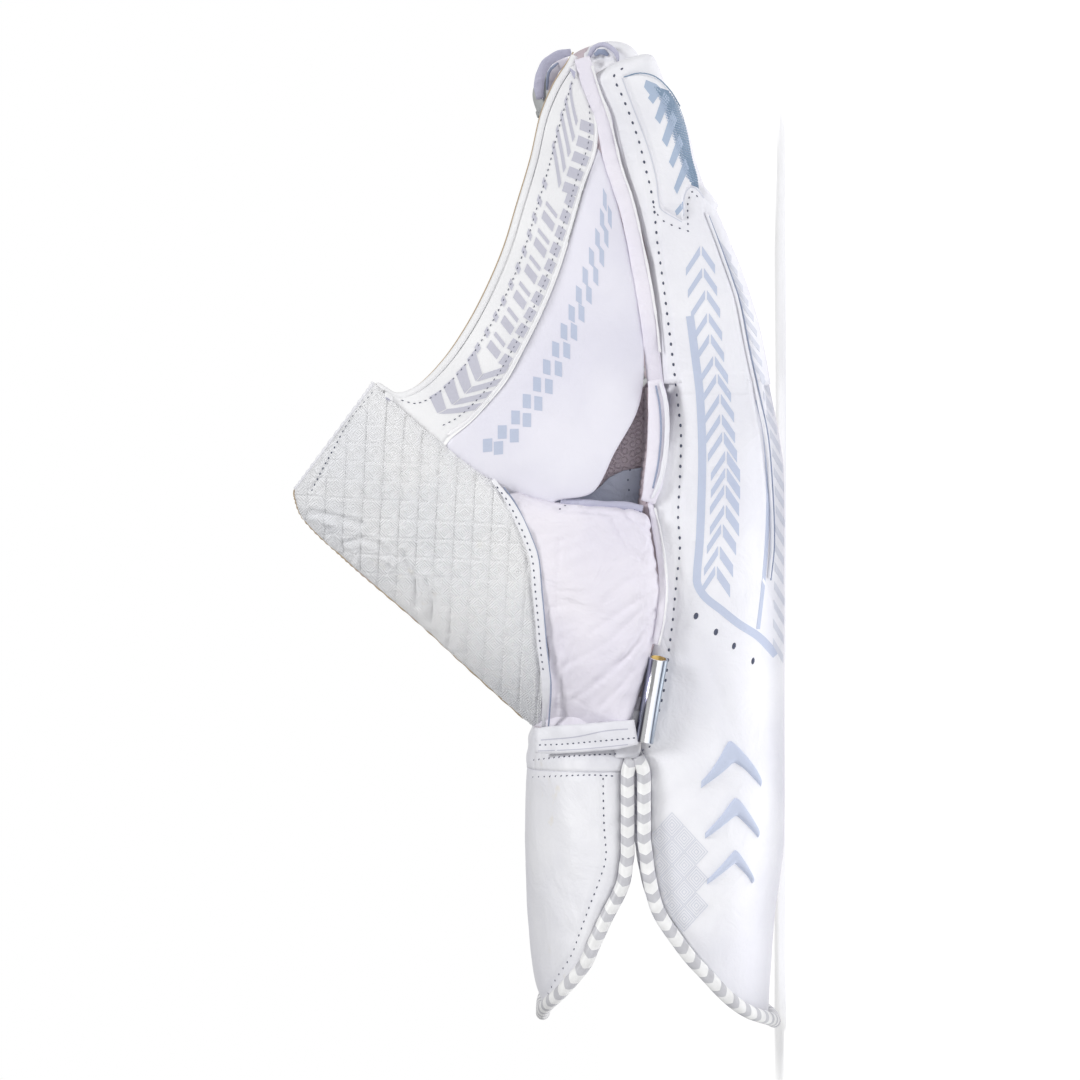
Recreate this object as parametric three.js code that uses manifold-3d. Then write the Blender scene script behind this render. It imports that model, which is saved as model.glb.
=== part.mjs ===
import * as THREE from "three";
import { mergeVertices } from "three/addons/utils/BufferGeometryUtils.js";
import Module from "manifold-3d";

// A right-hand wicketkeeping glove that lies on its back: fingers along +X, palm up (+Z),
// thumb and catching web on the -Y side. All sizes are in millimetres.

// overall sizes
const gloveLength = 331;
const gloveHeight = 162;
const handWidth = 124;

// leather and rubber thicknesses
const backWall = 3.6;
const cuffWall = 3;
const palmWall = 3;
const fingerWall = 2.4;
const thumbWall = 2.6;
const webWall = 2.2;
const bandWall = 2.6;
const padWall = 2.6;
const ribHeight = 1.4;

// cords, tubes and gaps
const edgingDiameter = 4.6;
const webEdgingDiameter = 2.4;
const lipDiameter = 3.2;
const tubeDiameter = 6.5;
const tubeBore = 5.1;
const tubeLength = 29;
const gap = 0.3;
const cutGap = 0.5;
const slitWidth = 0.8;

// details that an edge or a seam leaves smaller than this are dropped
const sliver = 0.1;

// roundness of the sections: 2 is an ellipse, more is squarer
const palmRoundness = 2.8;
const fingerRoundness = 2.6;
const thumbRoundness = 2.4;

// Tables: "along" is a share of gloveLength from the back cuff's end, "up" of gloveHeight from
// the ground, and across values of handWidth from the hand's middle (thumb side negative).
// near, far: the sides; seam: where back and palm meet; floor: the underside; rise: how far
// the palm side stands over the seam; dish: its hollow; edged: 1 where the cuff has edging;
// round: the roundness of the back half, squarer where it runs into the fingers.
const bodyRows = [
  {
    along: 0.005, near: -0.484, far: 0.484, seamNear: 0.309,
    seamFar: 0.309, floor: 0.03, rise: 0.16, dish: 0, edged: 1, round: 2.8,
  },
  {
    along: 0.047, near: -0.496, far: 0.496, seamNear: 0.309,
    seamFar: 0.309, floor: 0.027, rise: 0.201, dish: 0, edged: 1, round: 2.8,
  },
  {
    along: 0.107, near: -0.508, far: 0.508, seamNear: 0.309,
    seamFar: 0.309, floor: 0.02, rise: 0.216, dish: 0, edged: 1, round: 2.8,
  },
  {
    along: 0.162, near: -0.516, far: 0.516, seamNear: 0.309,
    seamFar: 0.309, floor: 0.005, rise: 0.222, dish: 0, edged: 1, round: 2.8,
  },
  {
    along: 0.213, near: -0.516, far: 0.516, seamNear: 0.309,
    seamFar: 0.309, floor: -0.007, rise: 0.225, dish: 0, edged: 1, round: 2.8,
  },
  {
    along: 0.267, near: -0.504, far: 0.504, seamNear: 0.309,
    seamFar: 0.309, floor: -0.009, rise: 0.222, dish: 0, edged: 1, round: 2.8,
  },
  {
    along: 0.31, near: -0.492, far: 0.492, seamNear: 0.309,
    seamFar: 0.309, floor: -0.01, rise: 0.21, dish: 0, edged: 0, round: 2.8,
  },
  {
    along: 0.364, near: -0.496, far: 0.488, seamNear: 0.287,
    seamFar: 0.312, floor: -0.01, rise: 0.179, dish: 0.006, edged: 0, round: 2.8,
  },
  {
    along: 0.424, near: -0.5, far: 0.484, seamNear: 0.259,
    seamFar: 0.327, floor: -0.01, rise: 0.105, dish: 0.019, edged: 0, round: 2.8,
  },
  {
    along: 0.485, near: -0.5, far: 0.484, seamNear: 0.265,
    seamFar: 0.346, floor: -0.009, rise: 0.049, dish: 0.031, edged: 0, round: 2.8,
  },
  {
    along: 0.545, near: -0.498, far: 0.488, seamNear: 0.278,
    seamFar: 0.361, floor: -0.007, rise: 0.028, dish: 0.037, edged: 0, round: 3.1,
  },
  {
    along: 0.6, near: -0.494, far: 0.492, seamNear: 0.269,
    seamFar: 0.364, floor: 0.007, rise: 0.022, dish: 0.037, edged: 0, round: 3.8,
  },
  {
    along: 0.654, near: -0.49, far: 0.492, seamNear: 0.267,
    seamFar: 0.352, floor: 0.031, rise: 0.022, dish: 0.031, edged: 0, round: 4.6,
  },
];
const backFlapRows = [
  { along: 0.021, trim: 0.46 },
  { along: 0.026, trim: 0.38 },
  { along: 0.035, trim: 0.256 },
  { along: 0.05, trim: 0.175 },
  { along: 0.074, trim: 0.108 },
  { along: 0.095, trim: 0.062 },
  { along: 0.128, trim: 0.0175 },
  { along: 0.162, trim: 0.004 },
  { along: 0.198, trim: 0 },
];
const palmFlapRows = [
  { along: 0.03, trim: 0.46 },
  { along: 0.035, trim: 0.39 },
  { along: 0.053, trim: 0.217 },
  { along: 0.077, trim: 0.115 },
  { along: 0.098, trim: 0.077 },
  { along: 0.125, trim: 0.04 },
  { along: 0.156, trim: 0.0065 },
  { along: 0.186, trim: 0 },
];
const thumbRows = [
  {
    rightAlong: 0.311, rightUp: 0.321, rightAcross: -0.492, leftAlong: 0.311, leftUp: 0.519,
    leftAcross: -0.113, seam: 0.875, near: 0.121, far: 0.008,
  },
  {
    rightAlong: 0.373, rightUp: 0.287, rightAcross: -0.5, leftAlong: 0.364, leftUp: 0.636,
    leftAcross: -0.274, seam: 0.575, near: 0.137, far: 0.065,
  },
  {
    rightAlong: 0.44, rightUp: 0.259, rightAcross: -0.5, leftAlong: 0.412, leftUp: 0.741,
    leftAcross: -0.371, seam: 0.5, near: 0.137, far: 0.113,
  },
  {
    rightAlong: 0.5, rightUp: 0.278, rightAcross: -0.504, leftAlong: 0.452, leftUp: 0.833,
    leftAcross: -0.427, seam: 0.42, near: 0.129, far: 0.129,
  },
  {
    rightAlong: 0.527, rightUp: 0.302, rightAcross: -0.508, leftAlong: 0.473, leftUp: 0.883,
    leftAcross: -0.46, seam: 0.4, near: 0.121, far: 0.129,
  },
  {
    rightAlong: 0.536, rightUp: 0.475, rightAcross: -0.532, leftAlong: 0.488, leftUp: 0.917,
    leftAcross: -0.476, seam: 0.15, near: 0.113, far: 0.121,
  },
  {
    rightAlong: 0.557, rightUp: 0.593, rightAcross: -0.565, leftAlong: 0.506, leftUp: 0.957,
    leftAcross: -0.5, seam: 0, near: 0.101, far: 0.113,
  },
  {
    rightAlong: 0.6, rightUp: 0.71, rightAcross: -0.605, leftAlong: 0.524, leftUp: 0.988,
    leftAcross: -0.532, seam: 0, near: 0.093, far: 0.105,
  },
  {
    rightAlong: 0.633, rightUp: 0.79, rightAcross: -0.629, leftAlong: 0.541, leftUp: 0.999,
    leftAcross: -0.556, seam: 0, near: 0.081, far: 0.097,
  },
  {
    rightAlong: 0.648, rightUp: 0.824, rightAcross: -0.645, leftAlong: 0.547, leftUp: 1,
    leftAcross: -0.573, seam: 0, near: 0.052, far: 0.065,
  },
  {
    rightAlong: 0.656, rightUp: 0.837, rightAcross: -0.653, leftAlong: 0.549, leftUp: 0.998,
    leftAcross: -0.581, seam: 0, near: 0, far: 0,
  },
];
const panelRows = [
  {
    innerAlong: 0.538, innerUp: 0.47, innerAcross: -0.548,
    outerAlong: 0.598, outerUp: 0.683, outerAcross: -0.621,
  },
  {
    innerAlong: 0.547, innerUp: 0.395, innerAcross: -0.54,
    outerAlong: 0.615, outerUp: 0.642, outerAcross: -0.613,
  },
  {
    innerAlong: 0.587, innerUp: 0.351, innerAcross: -0.52,
    outerAlong: 0.633, outerUp: 0.608, outerAcross: -0.597,
  },
  {
    innerAlong: 0.624, innerUp: 0.309, innerAcross: -0.492,
    outerAlong: 0.657, outerUp: 0.568, outerAcross: -0.581,
  },
  {
    innerAlong: 0.657, innerUp: 0.294, innerAcross: -0.464,
    outerAlong: 0.687, outerUp: 0.534, outerAcross: -0.565,
  },
  {
    innerAlong: 0.703, innerUp: 0.294, innerAcross: -0.46,
    outerAlong: 0.724, outerUp: 0.497, outerAcross: -0.548,
  },
  {
    innerAlong: 0.748, innerUp: 0.302, innerAcross: -0.46,
    outerAlong: 0.763, outerUp: 0.464, outerAcross: -0.532,
  },
  {
    innerAlong: 0.796, innerUp: 0.327, innerAcross: -0.46,
    outerAlong: 0.805, outerUp: 0.437, outerAcross: -0.508,
  },
  {
    innerAlong: 0.841, innerUp: 0.349, innerAcross: -0.46,
    outerAlong: 0.847, outerUp: 0.412, outerAcross: -0.484,
  },
  {
    innerAlong: 0.881, innerUp: 0.373, innerAcross: -0.46,
    outerAlong: 0.888, outerUp: 0.384, outerAcross: -0.468,
  },
];
const bandRows = [
  {
    innerAlong: 0.6, innerUp: 0.688, innerAcross: -0.623,
    outerAlong: 0.65, outerUp: 0.831, outerAcross: -0.653,
  },
  {
    innerAlong: 0.616, innerUp: 0.647, innerAcross: -0.615,
    outerAlong: 0.64, outerUp: 0.784, outerAcross: -0.645,
  },
  {
    innerAlong: 0.634, innerUp: 0.61, innerAcross: -0.598,
    outerAlong: 0.65, outerUp: 0.735, outerAcross: -0.637,
  },
  {
    innerAlong: 0.659, innerUp: 0.572, innerAcross: -0.582,
    outerAlong: 0.675, outerUp: 0.682, outerAcross: -0.621,
  },
  {
    innerAlong: 0.689, innerUp: 0.537, innerAcross: -0.566,
    outerAlong: 0.708, outerUp: 0.636, outerAcross: -0.597,
  },
  {
    innerAlong: 0.725, innerUp: 0.5, innerAcross: -0.55,
    outerAlong: 0.745, outerUp: 0.597, outerAcross: -0.573,
  },
  {
    innerAlong: 0.764, innerUp: 0.468, innerAcross: -0.534,
    outerAlong: 0.785, outerUp: 0.562, outerAcross: -0.548,
  },
  {
    innerAlong: 0.807, innerUp: 0.441, innerAcross: -0.51,
    outerAlong: 0.829, outerUp: 0.535, outerAcross: -0.524,
  },
  {
    innerAlong: 0.849, innerUp: 0.416, innerAcross: -0.485,
    outerAlong: 0.875, outerUp: 0.507, outerAcross: -0.504,
  },
  {
    innerAlong: 0.888, innerUp: 0.388, innerAcross: -0.469,
    outerAlong: 0.917, outerUp: 0.488, outerAcross: -0.488,
  },
  {
    innerAlong: 0.926, innerUp: 0.39, innerAcross: -0.464,
    outerAlong: 0.947, outerUp: 0.463, outerAcross: -0.476,
  },
  {
    innerAlong: 0.953, innerUp: 0.412, innerAcross: -0.46,
    outerAlong: 0.968, outerUp: 0.437, outerAcross: -0.468,
  },
  {
    innerAlong: 0.966, innerUp: 0.426, innerAcross: -0.46,
    outerAlong: 0.979, outerUp: 0.43, outerAcross: -0.464,
  },
];
const indexRows = [
  { along: 0.655, up: 0.149, depth: 0.117 },
  { along: 0.718, up: 0.17, depth: 0.109 },
  { along: 0.787, up: 0.204, depth: 0.091 },
  { along: 0.847, up: 0.248, depth: 0.077 },
  { along: 0.908, up: 0.289, depth: 0.074 },
  { along: 0.953, up: 0.324, depth: 0.074 },
  { along: 0.976, up: 0.344, depth: 0.074 },
];
const middleRows = [
  { along: 0.655, up: 0.157, depth: 0.123 },
  { along: 0.727, up: 0.191, depth: 0.111 },
  { along: 0.802, up: 0.235, depth: 0.096 },
  { along: 0.863, up: 0.281, depth: 0.085 },
  { along: 0.917, up: 0.327, depth: 0.081 },
  { along: 0.959, up: 0.364, depth: 0.08 },
  { along: 0.999, up: 0.388, depth: 0.08 },
];
const ringRows = [
  { along: 0.655, up: 0.179, depth: 0.123 },
  { along: 0.727, up: 0.225, depth: 0.111 },
  { along: 0.802, up: 0.287, depth: 0.099 },
  { along: 0.863, up: 0.352, depth: 0.09 },
  { along: 0.908, up: 0.395, depth: 0.088 },
  { along: 0.947, up: 0.429, depth: 0.084 },
  { along: 0.983, up: 0.457, depth: 0.08 },
];
const littleRows = [
  { along: 0.655, up: 0.219, depth: 0.117 },
  { along: 0.711, up: 0.262, depth: 0.105 },
  { along: 0.772, up: 0.318, depth: 0.09 },
  { along: 0.826, up: 0.373, depth: 0.079 },
  { along: 0.869, up: 0.414, depth: 0.075 },
  { along: 0.905, up: 0.448, depth: 0.074 },
];

// Reads one column of a table at a place t from 0 to 1 along its rows, as a smooth curve.
function column(rows, name, t) {
  const place = Math.min(Math.max(t, 0), 1) * (rows.length - 1);
  const i = Math.min(Math.floor(place), rows.length - 2);
  const f = place - i;
  const value = (k) => rows[Math.min(Math.max(k, 0), rows.length - 1)][name];
  const p1 = value(i);
  const p2 = value(i + 1);
  const m1 = i > 0 ? (p2 - value(i - 1)) / 2 : p2 - p1;
  const m2 = i + 2 < rows.length ? (value(i + 2) - p1) / 2 : p2 - p1;
  const f2 = f * f;
  const f3 = f2 * f;
  return p1 * (2 * f3 - 3 * f2 + 1) + m1 * (f3 - 2 * f2 + f) + p2 * (3 * f2 - 2 * f3) + m2 * (f3 - f2);
}

// The place t at which a rising column reaches a value.
function placeOf(rows, name, wanted) {
  let low = 0;
  let high = 1;
  for (let k = 0; k < 40; k++) {
    const middle = (low + high) / 2;
    if (column(rows, name, middle) < wanted) low = middle;
    else high = middle;
  }
  return (low + high) / 2;
}

const bulge = (angle, roundness) => Math.pow(Math.max(Math.sin(angle), 0), 2 / roundness);
const spread = (angle, roundness) => {
  const c = Math.cos(angle);
  return Math.sign(c) * Math.pow(Math.abs(c), 2 / roundness);
};
const mix = (a, b, f) => a + (b - a) * f;

// Point of the hand and cuff at a share along the glove and a share v round the half section
// from the near seam to the far seam. side is -1 for the back half and 1 for the palm half.
function bodyPoint(along, v, side, grow = 0) {
  const t = placeOf(bodyRows, "along", along);
  const edged = Math.min(Math.max(column(bodyRows, "edged", t), 0), 1);
  const shift = side * mix(gap / 2, edgingDiameter + gap + slitWidth / 2, edged);
  const near = column(bodyRows, "near", t) * handWidth - grow;
  const far = column(bodyRows, "far", t) * handWidth + grow;
  const seamNear = column(bodyRows, "seamNear", t) * gloveHeight;
  const seamFar = column(bodyRows, "seamFar", t) * gloveHeight;
  const seam = mix(seamNear, seamFar, v) + (grow ? 0 : shift);
  const angle = Math.PI * v;
  const roundness = side < 0 ? column(bodyRows, "round", t) : palmRoundness;
  const y = (near + far) / 2 - ((far - near) / 2) * spread(angle, roundness);
  const x = (along - 0.5) * gloveLength;
  if (side < 0) {
    const floor = column(bodyRows, "floor", t) * gloveHeight - grow;
    return new THREE.Vector3(x, y, Math.max(seam + (floor - seam) * bulge(angle, roundness), -grow));
  }
  const rise = column(bodyRows, "rise", t) * gloveHeight - (grow ? 0 : shift) + grow;
  const dish = column(bodyRows, "dish", t) * gloveHeight * Math.sin(angle) ** 2;
  return new THREE.Vector3(x, y, seam + rise * bulge(angle, roundness) - dish);
}

// How far the thumb stall swells out from its middle on one side.
function swellAt(t, angle, side, grow) {
  const swell = Math.max(column(thumbRows, side < 0 ? "near" : "far", t), 0) * handWidth + grow;
  return swell * bulge(angle, thumbRoundness);
}

// Point of the thumb stall at a place t from the wrist to the tip and an angle from the right
// edge to the left edge, on its near side (-1) or its far side (1).
function thumbPoint(t, angle, side, grow = 0) {
  const w = 0.5 - 0.5 * Math.cos(angle);
  const x = mix(column(thumbRows, "rightAlong", t), column(thumbRows, "leftAlong", t), w);
  const z = mix(column(thumbRows, "rightUp", t), column(thumbRows, "leftUp", t), w);
  const y = mix(column(thumbRows, "rightAcross", t), column(thumbRows, "leftAcross", t), w);
  const widen = grow * Math.cos(angle);
  const rx = (column(thumbRows, "rightAlong", t) - column(thumbRows, "leftAlong", t)) * gloveLength;
  const rz = (column(thumbRows, "rightUp", t) - column(thumbRows, "leftUp", t)) * gloveHeight;
  const r = Math.hypot(rx, rz) || 1;
  return new THREE.Vector3(
    (x - 0.5) * gloveLength + (rx / r) * widen,
    y * handWidth + side * (swellAt(t, angle, side, grow) + (grow ? 0 : gap / 2)),
    z * gloveHeight + (rz / r) * widen,
  );
}

// Angle at which the seam between embossed and smooth leather crosses the thumb at place t,
// moved a little toward the left edge by an offset.
function thumbSeamAngle(t, offset) {
  const rx = (column(thumbRows, "rightAlong", t) - column(thumbRows, "leftAlong", t)) * gloveLength;
  const rz = (column(thumbRows, "rightUp", t) - column(thumbRows, "leftUp", t)) * gloveHeight;
  const w = column(thumbRows, "seam", t) + offset / Math.hypot(rx, rz);
  return Math.acos(1 - 2 * Math.min(Math.max(w, 0), 1));
}

// Point of a web leather at a place t along it and a share w from its inner to its outer edge.
function webPoint(rows, t, w, outward) {
  const x = mix(column(rows, "innerAlong", t), column(rows, "outerAlong", t), w);
  const z = mix(column(rows, "innerUp", t), column(rows, "outerUp", t), w);
  const y = mix(column(rows, "innerAcross", t), column(rows, "outerAcross", t), w);
  return new THREE.Vector3(
    (x - 0.5) * gloveLength,
    (y - outward * Math.sin(Math.PI * w) * Math.sin(Math.PI * t)) * handWidth,
    z * gloveHeight,
  );
}

// The section of a finger at a share s from its root to its tip: middle, direction and size.
function fingerFrame(finger, s) {
  const centre = (q) => new THREE.Vector3(
    (column(finger.rows, "along", q) - 0.5) * gloveLength,
    finger.across * handWidth,
    column(finger.rows, "up", q) * gloveHeight,
  );
  const step = 0.01;
  const run = centre(Math.min(s + step, 1)).sub(centre(Math.max(s - step, 0))).normalize();
  const square = Math.max(1 - s / finger.bend, 0);
  run.multiplyScalar(1 - square).add(new THREE.Vector3(square, 0, 0)).normalize();
  const up = new THREE.Vector3(-run.z, 0, run.x);
  const inTip = Math.max((s - (1 - finger.dome)) / finger.dome, 0);
  const scale = Math.pow(Math.max(1 - Math.pow(inTip, finger.blunt), 0), 1 / finger.blunt);
  return { centre: centre(s), up, run, scale, depth: column(finger.rows, "depth", s) * gloveHeight };
}

// Point of a finger stall's skin. The angle is 0 at the near side, positive over the face and
// negative under the back.
function fingerPoint(finger, s, angle, grow = 0) {
  const f = fingerFrame(finger, s);
  const half = (finger.half * handWidth + grow) * f.scale;
  const depth = (f.depth + grow) * f.scale;
  const rise = Math.sign(Math.sin(angle)) * Math.pow(Math.abs(Math.sin(angle)), 2 / fingerRoundness);
  const y = -half * spread(angle, fingerRoundness);
  return f.centre.clone().addScaledVector(f.up, depth * rise).add(new THREE.Vector3(0, y, 0));
}

// A strip of a finger stall's skin between two angles, with one more column at each side.
function fingerGrid(finger, places, from, to, columnCount) {
  const step = (to - from) / columnCount;
  return places.map((s) => {
    const row = shares(columnCount + 2, from - step, to + step).map((a) => fingerPoint(finger, s, a));
    row.out = fingerFrame(finger, s).run;
    return row;
  });
}

// Shares from 0 to 1 for a finger's rows, closer together at the tip.
function fingerShares(finger, count, tipCount) {
  const list = [];
  for (let i = 0; i <= count; i++) list.push((i / count) * (1 - finger.dome));
  for (let i = 1; i <= tipCount; i++) {
    list.push(1 - finger.dome + finger.dome * Math.sin((i / tipCount) * Math.PI / 2));
  }
  return list;
}

const shares = (count, from = 0, to = 1) =>
  Array.from({ length: count + 1 }, (unused, i) => from + ((to - from) * i) / count);

// Outward normals of a grid of points. flip turns them round. On a body or finger the rows at
// its ends stay in a plane across the glove, and the walls are level where two halves meet.
function gridNormals(grid, flip, edges) {
  const normals = [];
  for (let i = 0; i < grid.length; i++) {
    const row = [];
    for (let j = 0; j < grid[i].length; j++) {
      const a = grid[Math.min(i + 1, grid.length - 1)][j].clone()
        .sub(grid[Math.max(i - 1, 0)][j]);
      const b = grid[i][Math.min(j + 1, grid[i].length - 1)].clone()
        .sub(grid[i][Math.max(j - 1, 0)]);
      const n = a.cross(b);
      if (n.length() < 1e-9) n.copy(i > 0 ? normals[i - 1][j] : new THREE.Vector3(0, 0, flip));
      else n.normalize().multiplyScalar(flip);
      row.push(n);
    }
    const spanned = grid[i][0].distanceTo(grid[i][Math.floor(grid[i].length / 2)]);
    if (edges === "body" && grid[i].level) {
      for (const n of [row[0], row[row.length - 1]]) n.set(0, Math.sign(n.y), 0);
    }
    if (spanned < 1e-4) {
      for (const n of row) n.copy(grid[i].out);
    }
    normals.push(row);
  }
  const ends = { body: [0, grid.length - 1], finger: [0], thumbRoot: [0] }[edges] || [];
  for (const end of ends) {
    for (const n of normals[end]) n.setX(0).normalize();
  }
  return normals;
}

// A closed solid between a grid of outer points and the same grid moved inward by the wall.
// lift moves the whole sheet outward first.
function sheet(grid, wall, flip, edges = "free", lift = 0) {
  const normals = gridNormals(grid, flip, edges);
  if (edges === "finger" || edges === "pad") {
    grid = grid.map((row) => row.slice(1, -1));
    normals.forEach((row) => row.splice(0, 1) && row.pop());
  }
  const rows = grid.length;
  const columns = grid[0].length;
  const points = [];
  for (const depth of [lift, lift - wall]) {
    for (let i = 0; i < rows; i++) {
      for (let j = 0; j < columns; j++) {
        const p = grid[i][j].clone().addScaledVector(normals[i][j], depth);
        points.push(p.x, p.y, p.z);
      }
    }
  }
  const faces = [];
  const outer = (i, j) => i * columns + j;
  const inner = (i, j) => rows * columns + i * columns + j;
  const quad = (a, b, c, d) => {
    if (flip > 0) faces.push(a, b, c, a, c, d);
    else faces.push(a, c, b, a, d, c);
  };
  for (let i = 0; i < rows - 1; i++) {
    for (let j = 0; j < columns - 1; j++) {
      quad(outer(i, j), outer(i + 1, j), outer(i + 1, j + 1), outer(i, j + 1));
      quad(inner(i, j), inner(i, j + 1), inner(i + 1, j + 1), inner(i + 1, j));
    }
    quad(outer(i, 0), inner(i, 0), inner(i + 1, 0), outer(i + 1, 0));
    const j = columns - 1;
    quad(outer(i, j), outer(i + 1, j), inner(i + 1, j), inner(i, j));
  }
  for (let j = 0; j < columns - 1; j++) {
    const i = rows - 1;
    quad(outer(0, j), outer(0, j + 1), inner(0, j + 1), inner(0, j));
    quad(outer(i, j), inner(i, j), inner(i, j + 1), outer(i, j + 1));
  }
  return closed(points, faces);
}

// A closed solid whose rings of points are given one after another, with flat ends.
function loft(rings) {
  const count = rings[0].length;
  const points = [];
  for (const ring of rings) {
    for (const p of ring) points.push(p.x, p.y, p.z);
  }
  const faces = [];
  for (let i = 0; i < rings.length - 1; i++) {
    for (let j = 0; j < count; j++) {
      const k = (j + 1) % count;
      const a = i * count;
      const b = a + count;
      faces.push(a + j, a + k, b + k, a + j, b + k, b + j);
    }
  }
  for (const [ring, turned] of [[0, true], [rings.length - 1, false]]) {
    const middle = new THREE.Vector3();
    for (const p of rings[ring]) middle.addScaledVector(p, 1 / count);
    const hub = points.length / 3;
    points.push(middle.x, middle.y, middle.z);
    for (let j = 0; j < count; j++) {
      const k = (j + 1) % count;
      const a = ring * count;
      if (turned) faces.push(hub, a + k, a + j);
      else faces.push(hub, a + j, a + k);
    }
  }
  return closed(points, faces);
}

// Welds the points and drops faces that have shrunk to a line.
function closed(points, faces) {
  const raw = new THREE.BufferGeometry();
  raw.setAttribute("position", new THREE.Float32BufferAttribute(points, 3));
  raw.setIndex(faces);
  const welded = mergeVertices(raw, 1e-3);
  const index = welded.index.array;
  const kept = [];
  for (let i = 0; i < index.length; i += 3) {
    const [a, b, c] = [index[i], index[i + 1], index[i + 2]];
    if (a !== b && b !== c && c !== a) kept.push(a, b, c);
  }
  welded.setIndex(kept);
  return welded;
}

// A round cord along a list of points.
function cordAlong(points, radius, sides) {
  const rings = [];
  let up = null;
  points.forEach((p, i) => {
    const run = points[Math.min(i + 1, points.length - 1)].clone()
      .sub(points[Math.max(i - 1, 0)]).normalize();
    if (!up) up = Math.abs(run.y) < 0.9 ? new THREE.Vector3(0, 1, 0) : new THREE.Vector3(1, 0, 0);
    up = up.clone().addScaledVector(run, -up.dot(run)).normalize();
    const side = new THREE.Vector3().crossVectors(run, up);
    const ring = [];
    for (let k = 0; k < sides; k++) {
      const angle = (k / sides) * Math.PI * 2;
      ring.push(p.clone()
        .addScaledVector(up, radius * Math.cos(angle))
        .addScaledVector(side, radius * Math.sin(angle)));
    }
    rings.push(ring);
  });
  return loft(rings);
}

const wasm = await Module();
wasm.setup();

// Geometry to solid and back, for joining and cutting.
function solid(geometry) {
  const made = new wasm.Manifold(new wasm.Mesh({
    numProp: 3,
    vertProperties: new Float32Array(geometry.getAttribute("position").array),
    triVerts: new Uint32Array(geometry.index.array),
  }));
  return made;
}

function geometryOf(made) {
  const largest = made.simplify(sliver).decompose().sort((a, b) => b.volume() - a.volume())[0];
  const mesh = largest.getMesh();
  const position = new Float32Array(mesh.numVert * 3);
  for (let i = 0; i < mesh.numVert; i++) {
    for (let k = 0; k < 3; k++) position[i * 3 + k] = mesh.vertProperties[i * mesh.numProp + k];
  }
  const geometry = new THREE.BufferGeometry();
  geometry.setAttribute("position", new THREE.BufferAttribute(position, 3));
  geometry.setIndex(new THREE.BufferAttribute(new Uint32Array(mesh.triVerts), 1));
  return geometry;
}

const cut = (geometry, ...tools) => geometryOf(tools.reduce((rest, tool) => rest.subtract(tool), solid(geometry)));

const materials = {
  leather: { color: 0xeeeef3, roughness: 0.55, metalness: 0 },
  rubber: { color: 0xccc2ca, roughness: 0.8, metalness: 0 },
  suede: { color: 0xc2c7d6, roughness: 0.95, metalness: 0 },
  edging: { color: 0xd6d8de, roughness: 0.6, metalness: 0 },
  print: { color: 0x8094ab, roughness: 0.5, metalness: 0 },
  metal: { color: 0xc8cace, roughness: 0.18, metalness: 1 },
};

const group = new THREE.Group();
group.name = "wicketkeeping_glove";

function place(name, geometry, material) {
  const shown = geometry.index ? geometry.toNonIndexed() : geometry;
  shown.computeVertexNormals();
  const mesh = new THREE.Mesh(shown, new THREE.MeshStandardMaterial(materials[material]));
  mesh.name = name;
  group.add(mesh);
}

// Hand and cuff
const handEnd = bodyRows[bodyRows.length - 1].along;
const wristAlong = thumbRows[0].rightAlong;
const bandAlong = 0.268;
const backEdgingAlong = 0.29;
const beforeWrist = 0.02;
const pastHand = 0.005;

function flapGrid(flapRows, side, alongEnd, rowCount, columnCount) {
  const lines = flapRows.map((row) => [row.along, row.trim]);
  const last = lines[lines.length - 1][0];
  for (const along of shares(rowCount, last, alongEnd).slice(1)) lines.push([along, 0]);
  return lines.map(([along, trim]) => {
    const row = shares(columnCount, trim, 1 - trim).map((v) => bodyPoint(along, v, side));
    row.level = trim === 0;
    return row;
  });
}

const bodyGrid = (from, to, rowCount, columnCount, side, raise = 0) =>
  shares(rowCount, from, to).map((along) => {
    const row = shares(columnCount).map((v) => bodyPoint(along, v, side));
    for (const end of [row[0], row[row.length - 1]]) end.z += raise;
    row.level = true;
    return row;
  });

// Whole thumb stall and whole hand as solid blocks, a little larger than the real ones.
function thumbBlock(grow) {
  return solid(loft(shares(24).map((t) => {
    const near = shares(14).map((a) => thumbPoint(t, a * Math.PI, -1, grow));
    const far = shares(14).map((a) => thumbPoint(t, a * Math.PI, 1, grow));
    return [...near, ...far.reverse().slice(1, -1)].reverse();
  })));
}

function bodyBlock(from, to, grow) {
  return solid(loft(shares(18, from, to).map((along) => {
    const under = shares(12).map((v) => bodyPoint(along, v, -1, grow));
    const over = shares(32).map((v) => bodyPoint(along, v, 1, grow));
    return [...under, ...over.reverse().slice(1, -1)];
  })));
}

// One half of the thumb stall's inside and beyond, up to the middle between its two sides.
function thumbHalf(side) {
  const reach = thumbWall + gap;
  return solid(loft(shares(20).map((t) => {
    const skin = shares(10).map((a) => thumbPoint(t, a * Math.PI, side, reach));
    const middle = shares(10).map((a) => {
      const p = thumbPoint(t, a * Math.PI, side, reach);
      const q = thumbPoint(t, a * Math.PI, -side, reach);
      const swellNear = p.y - side * swellAt(t, a * Math.PI, side, reach);
      return new THREE.Vector3(q.x, swellNear - (side * gap) / 2, q.z);
    });
    const ring = [...skin, ...middle.reverse().slice(1, -1)];
    return side < 0 ? ring.reverse() : ring;
  })));
}

const thumbTool = thumbBlock(cutGap);
const handTool = bodyBlock(wristAlong - beforeWrist, handEnd + pastHand, cutGap);
const backReach = bodyGrid(wristAlong - beforeWrist, handEnd, 16, 24, -1, gap);
const backTool = solid(sheet(backReach, backWall + 2 * gap, -1, "body", gap));
const nearTool = thumbHalf(-1);
const farTool = thumbHalf(1);

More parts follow.
